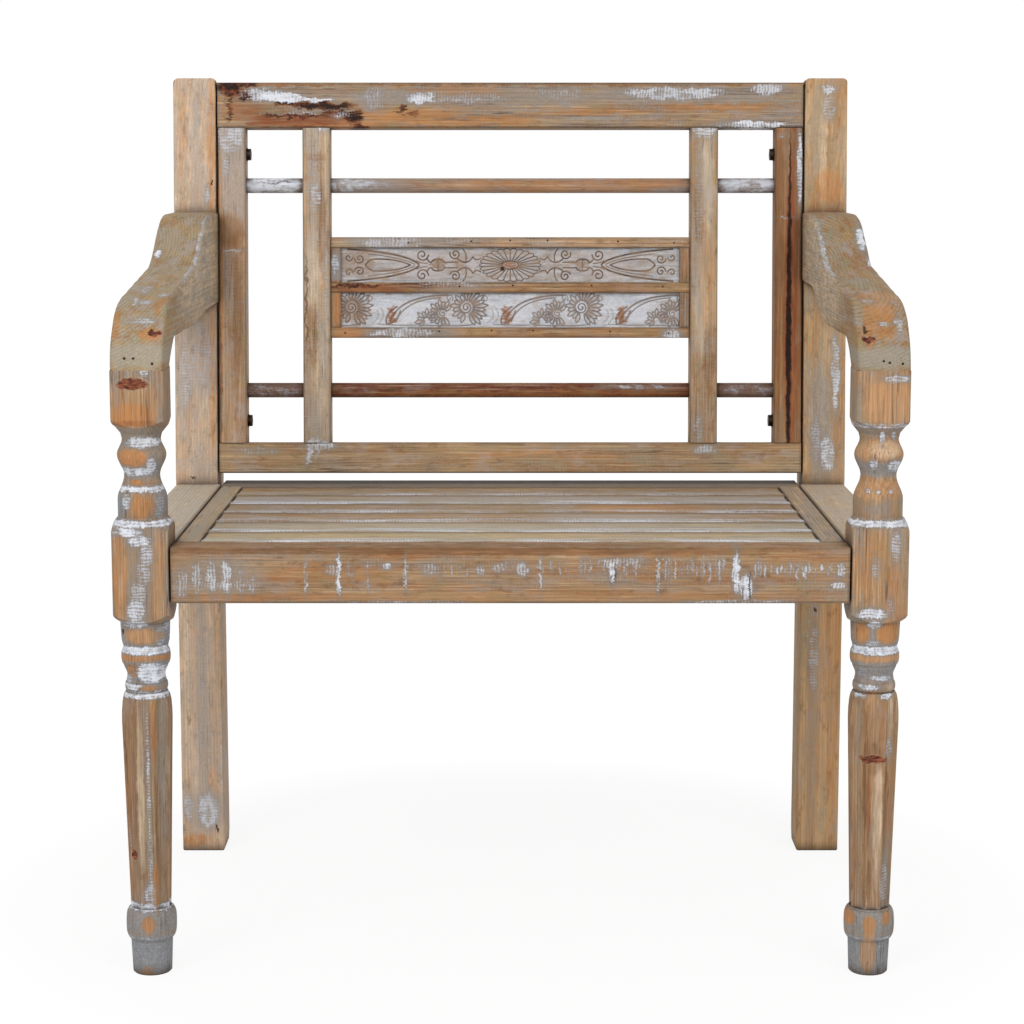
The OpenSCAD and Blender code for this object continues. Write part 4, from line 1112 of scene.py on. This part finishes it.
         (226, 4, 4, 24, 0.95), (236, -12, 8, 14, 0.9), (331, 6, 4.5, 8, 0.78),
         (329, -10, 8, 4, 0.72), (230, -27, 60, 2, 0.7), (-110, -27, 70, 1.6, 0.6)),
        ("orange", (-180, 2, 60, 7, 0.5), (-110, 21, 40, 5, 0.5), (60, 24, 200, 4, 0.55),
         (300, 18, 40, 6, 0.5)),
        ("dark", (105, 2, 1.2, 6, 0.6), (101, -4, 1, 5, 0.5), (240, -10, 0.9, 16, 0.85),
         (232, -16, 0.7, 7, 0.6)),
        ("tan", (0, -21, 300, 5, 0.5)),
    ) + dashes(-72, -40, 7, 5, 7, 0.5) + dashes(-4, 60, 6.5, 8, 6, 0.5)
    + dashes(70, 140, 5.5, 11, 8, 0.6) + dashes(155, 220, 5.5, 8, 11, 0.6)
    + dashes(246, 322, 5, 6, 7, 0.68)),
    "seat_end_batten_left": dict(level=1.15, pale="#ab9a80", warm="#a48a68", grey="#a29a8c",
        wash=0.6),
    "seat_end_batten_right": dict(level=1.2, pale="#a5937a", warm="#9c8262", grey="#9a9184",
        wash=0.6),
    "seat_slat_1": dict(SLAT, pale="#aea078", warm="#a88c64", grey="#a49c88", wash=0.55,
        front_line=0.88),
    "seat_slat_2": dict(SLAT, pale="#a79e84", warm="#a08a68", grey="#a59e90", wash=0.65,
        front_line=0.86),
    "seat_slat_3": dict(SLAT, pale="#a38b66", warm="#90704c", grey="#a0978e", wash=0.45,
        front_line=0.84, marks=(
        ("grey", (120, 0, 90, 60, 0.8)),
    )),
    "seat_slat_4": dict(SLAT, pale="#9c8866", warm="#896a46", grey="#9c938a", wash=0.4,
        front_line=0.8, marks=(
        ("orange", (150, 0, 70, 60, 0.5)),
    )),
    "seat_slat_5": dict(SLAT, pale="#a0977f", warm="#948064", grey="#a39c98", wash=0.65,
        front_line=0.9),
    "seat_slat_6": dict(SLAT, pale="#9c8a66", warm="#8d6d47", grey="#9c948a", wash=0.4,
        front_line=0.75),
    "seat_rear_rail": dict(pale="#97856c", warm="#8d7250", grey="#938b82", wash=0.8),
    "back_top_rail": dict(pale="#a68a68", warm="#9e7648", grey="#9b938b", wash=0.48, chalk=0.08,
        ladder=3.6, jagged=8, clouds=0.5, marks=(
        ("bark", (-330, 20, 16, 10, 1), (-310, 24, 12, 3, 1), (-312, 10, 6, 5, 1),
         (-262, 2, 16, 3, 1), (-224, -1, 38, 5, 1), (-185, -14, 12, 8, 1), (-205, -9, 18, 3, 1),
         (-250, -13, 40, 2, 0.9), (-178, -26, 10, 4, 1), (-330, -2, 3, 18, 0.8),
         (-128, -4, 5, 6, 0.9), (-114, -10, 6, 3, 0.7)),
        ("burnt", (-246, -18, 62, 9, 1), (-290, -22, 22, 4, 0.8), (-312, 4, 20, 20, 0.5),
         (-260, 24, 60, 2.5, 0.6)),
        ("dark", (-222, -1, 26, 2.2, 0.8), (-330, 21, 9, 4, 0.8), (-184, -15, 7, 3, 0.8),
         (0, 27, 400, 0.8, 0.35)),
        ("orange", (-60, 16, 60, 6, 0.5), (-205, -24, 50, 4, 0.8), (-120, -14, 60, 9, 0.75),
         (-30, -18, 60, 6, 0.7), (100, -8, 60, 4, 0.5), (240, -2, 80, 5, 0.5)),
        ("brown", (60, 25, 260, 3, 0.6), (-300, -8, 40, 12, 0.5)),
        ("tan", (-318, -8, 20, 10, 0.6)),
        ("white", (-250, -11, 26, 2.6, 0.85), (-196, -12, 12, 4, 0.9), (-296, 12, 26, 8, 1),
         (-262, 8, 22, 6.5, 1), (-226, 6, 20, 3, 1), (-105, 8, 18, 7, 0.9), (-160, 8, 12, 14, 0.55),
         (-60, 10, 60, 8, 0.6), (60, 12, 30, 8, 0.6), (190, 14, 66, 7, 0.78), (300, 18, 24, 6, 0.8),
         (288, -23, 44, 5.5, 0.95)),
        ("grey", (-140, 10, 60, 10, 0.9), (20, 8, 120, 10, 0.7), (200, 10, 130, 12, 0.8),
         (-230, 14, 60, 10, 0.5)),
    )),
    "back_bottom_rail": dict(level=1.22, clouds=0.55, figure=0.8, pale="#a68d69", warm="#93714a",
        grey="#9a8c78", wash=0.45, chalk=0.06, marks=(
        ("white", (-224, 14, 20, 5, 0.9), (-238, 4, 4, 13, 0.9), (-228, 6, 2, 10, 0.8),
         (230, 10, 14, 6, 0.8), (-300, 8, 26, 4, 0.55)),
        ("orange", (60, 4, 120, 5, 0.4)),
    )),
    "back_stile_left": dict(level=1.3, clouds=0.55, rings=0.25, figure=0.7, jagged=2.5,
        pale="#ab9072", warm="#977552", grey="#9d948c", wash=0.45, chalk=0.05, marks=(
        ("white", (-2, 176, 17, 24, 0.72), (-6, 140, 5, 14, 0.6), (0, 41, 13, 0.9, 0.9)),
        ("grey", (2, 125, 18, 80, 0.85)),
        ("orange", (-14, 20, 4, 150, 0.5)),
        # The first brown oval is painted shadow of the armrest on the stile
        ("brown", (-3, 64, 16, 22, 0.8), (6, -50, 6, 60, 0.5)),
        ("bark", (-15, -110, 3, 90, 0.5)),
    )),
    "back_stile_right": dict(level=1.05, figure=0.7, rings=0.3, pale="#a27340", warm="#825426",
        grey="#8f8068", wash=0.15, chalk=0.03, jagged=2.5, clouds=0.2, marks=(
        ("bark", (1, -40, 3, 170, 1)),
        ("dark", (0.5, -60, 2.7, 170, 0.85), (1, 110, 1.3, 70, 0.8)),
        ("grey", (-5, 130, 12, 60, 0.6), (0, 168, 16, 16, 0.6), (-10, 120, 5, 70, 0.4),
         (-2, -170, 16, 30, 0.5)),
        ("brown", (8, 120, 4, 60, 0.6), (-11, 90, 6, 110, 0.8)),
        ("orange", (7, -40, 3, 150, 0.7)),
        ("white", (13, 138, 3.8, 46, 0.9), (2, 80, 12, 1.2, 0.7), (-8, 176, 6, 3, 0.5)),
        ("burnt", (3, -20, 8, 190, 1)),
    )),
    "back_batten_left": dict(BATTEN, pale="#b29c80", warm="#a88460", grey="#a59c90", chalk=0.12,
        marks=(
        ("white", (6, 190, 10, 9, 0.85), (0, 106, 7, 16, 0.66), (0, -186, 16, 7, 0.8),
         (-4, -160, 10, 24, 0.45), (-4, 120, 4, 50, 0.5), (11, -30, 1.6, 90, 0.6)),
        ("dark", (-6, 194, 5, 2, 0.5), (-12, -20, 1.2, 60, 0.5)),
        ("brown", (6, 70, 7, 50, 0.6), (-5, -60, 6, 40, 0.6), (0, 150, 12, 6, 0.5)),
        ("pale", (-3, 20, 9, 50, 0.5), (5, -110, 7, 50, 0.5)),
    )),
    "back_batten_right": dict(BATTEN, pale="#ab9577", warm="#a07d55", grey="#9e9486", wash=0.45,
        marks=(
        ("white", (0, 186, 16, 14, 0.75), (-6, -170, 6, 16, 0.6), (-5, 60, 7, 110, 0.44),
         (6, 100, 4, 60, 0.42)),
        ("orange", (2, 20, 8, 70, 0.45)),
        ("brown", (-6, 90, 7, 40, 0.6), (6, -90, 6, 50, 0.55)),
        ("pale", (4, 120, 7, 60, 0.5), (-3, -30, 8, 50, 0.5)),
        ("grey", (-4, 60, 9, 120, 0.6)),
    )),
    "back_rod_upper": dict(ROD, pale="#ab9684", warm="#9a7860", grey="#a39e9c", chalk=0.05, marks=(
        ("white", (-285, 0, 50, 12, 0.92), (-190, 0, 50, 8, 0.7), (280, 0, 50, 10, 0.8)),
        ("orange", (60, 0, 150, 9, 0.55)),
        ("dark", (-275, 3, 26, 0.9, 0.6)),
    )),
    "back_rod_lower": dict(ROD, pale="#7a4220", warm="#622b0c", grey="#8a7468", wash=0.1,
        chalk=0.02, marks=(
        ("white", (-285, 0, 40, 8, 0.54), (285, 0, 40, 8, 0.5), (150, 4, 40, 3, 0.6)),
        ("orange", (0, -4, 200, 4, 0.4)),
    )),
    "panel_strip_top": dict(level=1.1, pale="#b39674", warm="#a68460", grey="#a59c92", wash=0.35,
        chalk=0.04, marks=(
        ("grey", (-125, 0, 70, 12, 0.9)),
        ("white", (-140, 0, 44, 8, 0.66), (-60, 2, 30, 4, 0.5)),
    )),
    "panel_strip_middle": dict(pale="#ae8c62", warm="#9c7449", grey="#a1968a", wash=0.15,
        chalk=0.02, marks=(
        ("bark", (-185, 2, 40, 2.5, 0.9), (-125, 3, 44, 1.4, 0.6)),
        ("burnt", (-170, -2, 46, 4, 0.7), (-100, 1, 40, 3, 0.5)),
        ("grey", (-70, 2, 50, 8, 0.7)),
        ("white", (-80, 3, 50, 4, 0.6)),
    )),
    "panel_strip_bottom": dict(pale="#b08f66", warm="#a27b50", grey="#a1968a", wash=0.15,
        chalk=0.02, marks=(
        ("orange", (-190, 0, 16, 12, 0.8)),
        ("grey", (-120, 0, 60, 12, 0.9)),
        ("white", (-125, -1, 46, 6, 0.75), (192, -2, 12, 7, 0.8)),
    )),
    "panel_end_strips_left": dict(pale="#ae8c66", warm="#9a6f44", grey="#969390", wash=0.3,
        jagged=4, marks=(
        ("grey", (0, 24, 14, 20, 1), (-5, -20, 3, 22, 0.6)),
        ("white", (-1, 28, 5, 14, 0.75)),
        ("burnt", (0, 4, 12, 5, 0.7)),
        ("orange", (0, -26, 12, 16, 0.6)),
    )),
}

# Finish of the kinds whose pieces have none of their own
KINDS = {
    "panel_end": dict(
        pale="#ae8c66", warm="#9a6f44", grey="#a1968a", wash=0.25, chalk=0.04, jagged=4),
    "rail_dowels": dict(arris_shade_and_dirt=0),
    "arm_plugs": dict(arris_shade_and_dirt=0, pale="#b08c62", warm="#946c42", wash=0.3),
}


def dress_wood():
    """A fir material for each wooden piece; painted shade darkens the slats where they end in the
    battens.
    """
    replacements = {"armrest": "worn_armrest", "rear_post": "worn_rear_post",
                    "arm_plugs": "sanded_arm_plugs"}
    shoulder = -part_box("seat_end_batten_left")[1].x / MM
    # Painted shade in the gaps where the slats end in the battens
    slat_end_shade = (("dark", *((side * (shoulder - 0.9), 0, 2.2, ROUND, 0.95, 0, 27)
                       for side in (-1, 1))),)
    for seed, name in enumerate(sorted(NODES)):
        for prefix, (grain, leaning) in WOOD.items():
            if not name.startswith(prefix):
                continue
            finish = FINISH.get(name) or KINDS.get(prefix, {})
            piece = NODES[name]
            if prefix == "seat_slat":
                finish = dict(finish, jagged=1.2, marks=finish.get("marks", ()) + slat_end_shade)
            if prefix in replacements:
                piece = bpy.data.objects[name.replace(prefix, replacements[prefix])]
            assign(piece, fir("fir_" + name, piece, grain, leaning, seed, **finish))


def dress_metal(browned, zinc):
    """Bolts and washers are browned; screws and insert nuts are zinc plated."""
    for name in ("back_bolts", "back_washers", "seat_bolts", "seat_washers"):
        assign(NODES[name], browned)
    for name in ("back_insert_nuts", "seat_insert_nuts", "arm_screws", "bearer_screws"):
        assign(NODES[name], zinc)


# Studio: a white floor that keeps a soft shadow, an even sky and two broad softboxes

def seen_directly(tree):
    """1 for rays from the camera, a mirror or glass, and 0 for light on the object."""
    path = add(tree, "ShaderNodeLightPath").outputs
    seen = path["Is Camera Ray"]
    for kind in ("Is Glossy Ray", "Is Transmission Ray"):
        seen = add(tree, "ShaderNodeMath", {0: seen, 1: path[kind]}, operation="MAXIMUM").outputs[0]
    return seen


def build_floor():
    """A pale floor that turns plain white away from the object, where no shadow falls."""
    mesh = bpy.data.meshes.new("studio_floor")
    reach = 15
    mesh.from_pydata([(x, y, 0) for x, y in
                      ((-reach, -reach), (reach, -reach), (reach, reach), (-reach, reach))],
                     [], [(0, 1, 2, 3)])
    floor = bpy.data.objects.new("studio_floor", mesh)
    bpy.context.scene.collection.objects.link(floor)
    material = new_material("white_floor")
    tree = material.node_tree
    place = add(tree, "ShaderNodeTexCoord").outputs["Object"]
    away = add(tree, "ShaderNodeVectorMath", {0: place}, operation="LENGTH").outputs["Value"]
    plain = add(tree, "ShaderNodeMapRange", {
        "Value": away, "From Min": 0.45, "From Max": 0.8, "To Min": 0.86, "To Max": 1.0},
        interpolation_type="SMOOTHSTEP").outputs["Result"]
    matt = add(tree, "ShaderNodeBsdfDiffuse", {"Color": linear("#ececec")})
    white = add(tree, "ShaderNodeEmission", {"Color": (1, 1, 1, 1), "Strength": 1.03})
    share = add(tree, "ShaderNodeMath", {0: seen_directly(tree), 1: plain}, operation="MULTIPLY")
    mix = add(tree, "ShaderNodeMixShader", {
        0: share.outputs[0], 1: matt.outputs["BSDF"], 2: white.outputs["Emission"]})
    add(tree, "ShaderNodeOutputMaterial", {"Surface": mix.outputs["Shader"]})
    floor.data.materials.append(material)


def build_light():
    """An even white sky, and a softbox at each side in front, the left one stronger."""
    world = bpy.data.worlds.new("studio")
    bpy.context.scene.world = world
    world.use_nodes = True
    tree = world.node_tree
    tree.nodes.clear()
    strength = add(tree, "ShaderNodeMapRange", {
        "Value": seen_directly(tree), "To Min": 0.58, "To Max": 1.0})
    sky = add(tree, "ShaderNodeBackground", {
        "Color": (1, 1, 1, 1), "Strength": strength.outputs["Result"]})
    add(tree, "ShaderNodeOutputWorld", {"Surface": sky.outputs["Background"]})
    for side, watts in ((-1, 58), (1, 38)):
        data = bpy.data.lights.new("softbox", "AREA")
        data.shape = "RECTANGLE"
        data.size = 2.2
        data.size_y = 1.8
        data.energy = watts
        softbox = bpy.data.objects.new("softbox", data)
        softbox.location = (1.7 * side, -3.1, 2.7)
        aim = Vector((0, 0, 0.5)) - softbox.location
        softbox.rotation_euler = aim.to_track_quat("-Z", "Y").to_euler()
        bpy.context.scene.collection.objects.link(softbox)


place_camera()
build_arms()
build_posts()
build_plugs()
build_carving()
browned_steel = steel("browned_steel", "#221c18", "#4a3c30", 0.45)
build_brads(browned_steel)
dress_metal(browned_steel, steel("zinc_plated_steel", "#9a9a98", "#8a7a68", 0.4))
dress_wood()
build_floor()
build_light()

bpy.context.scene.view_settings.view_transform = "Standard"
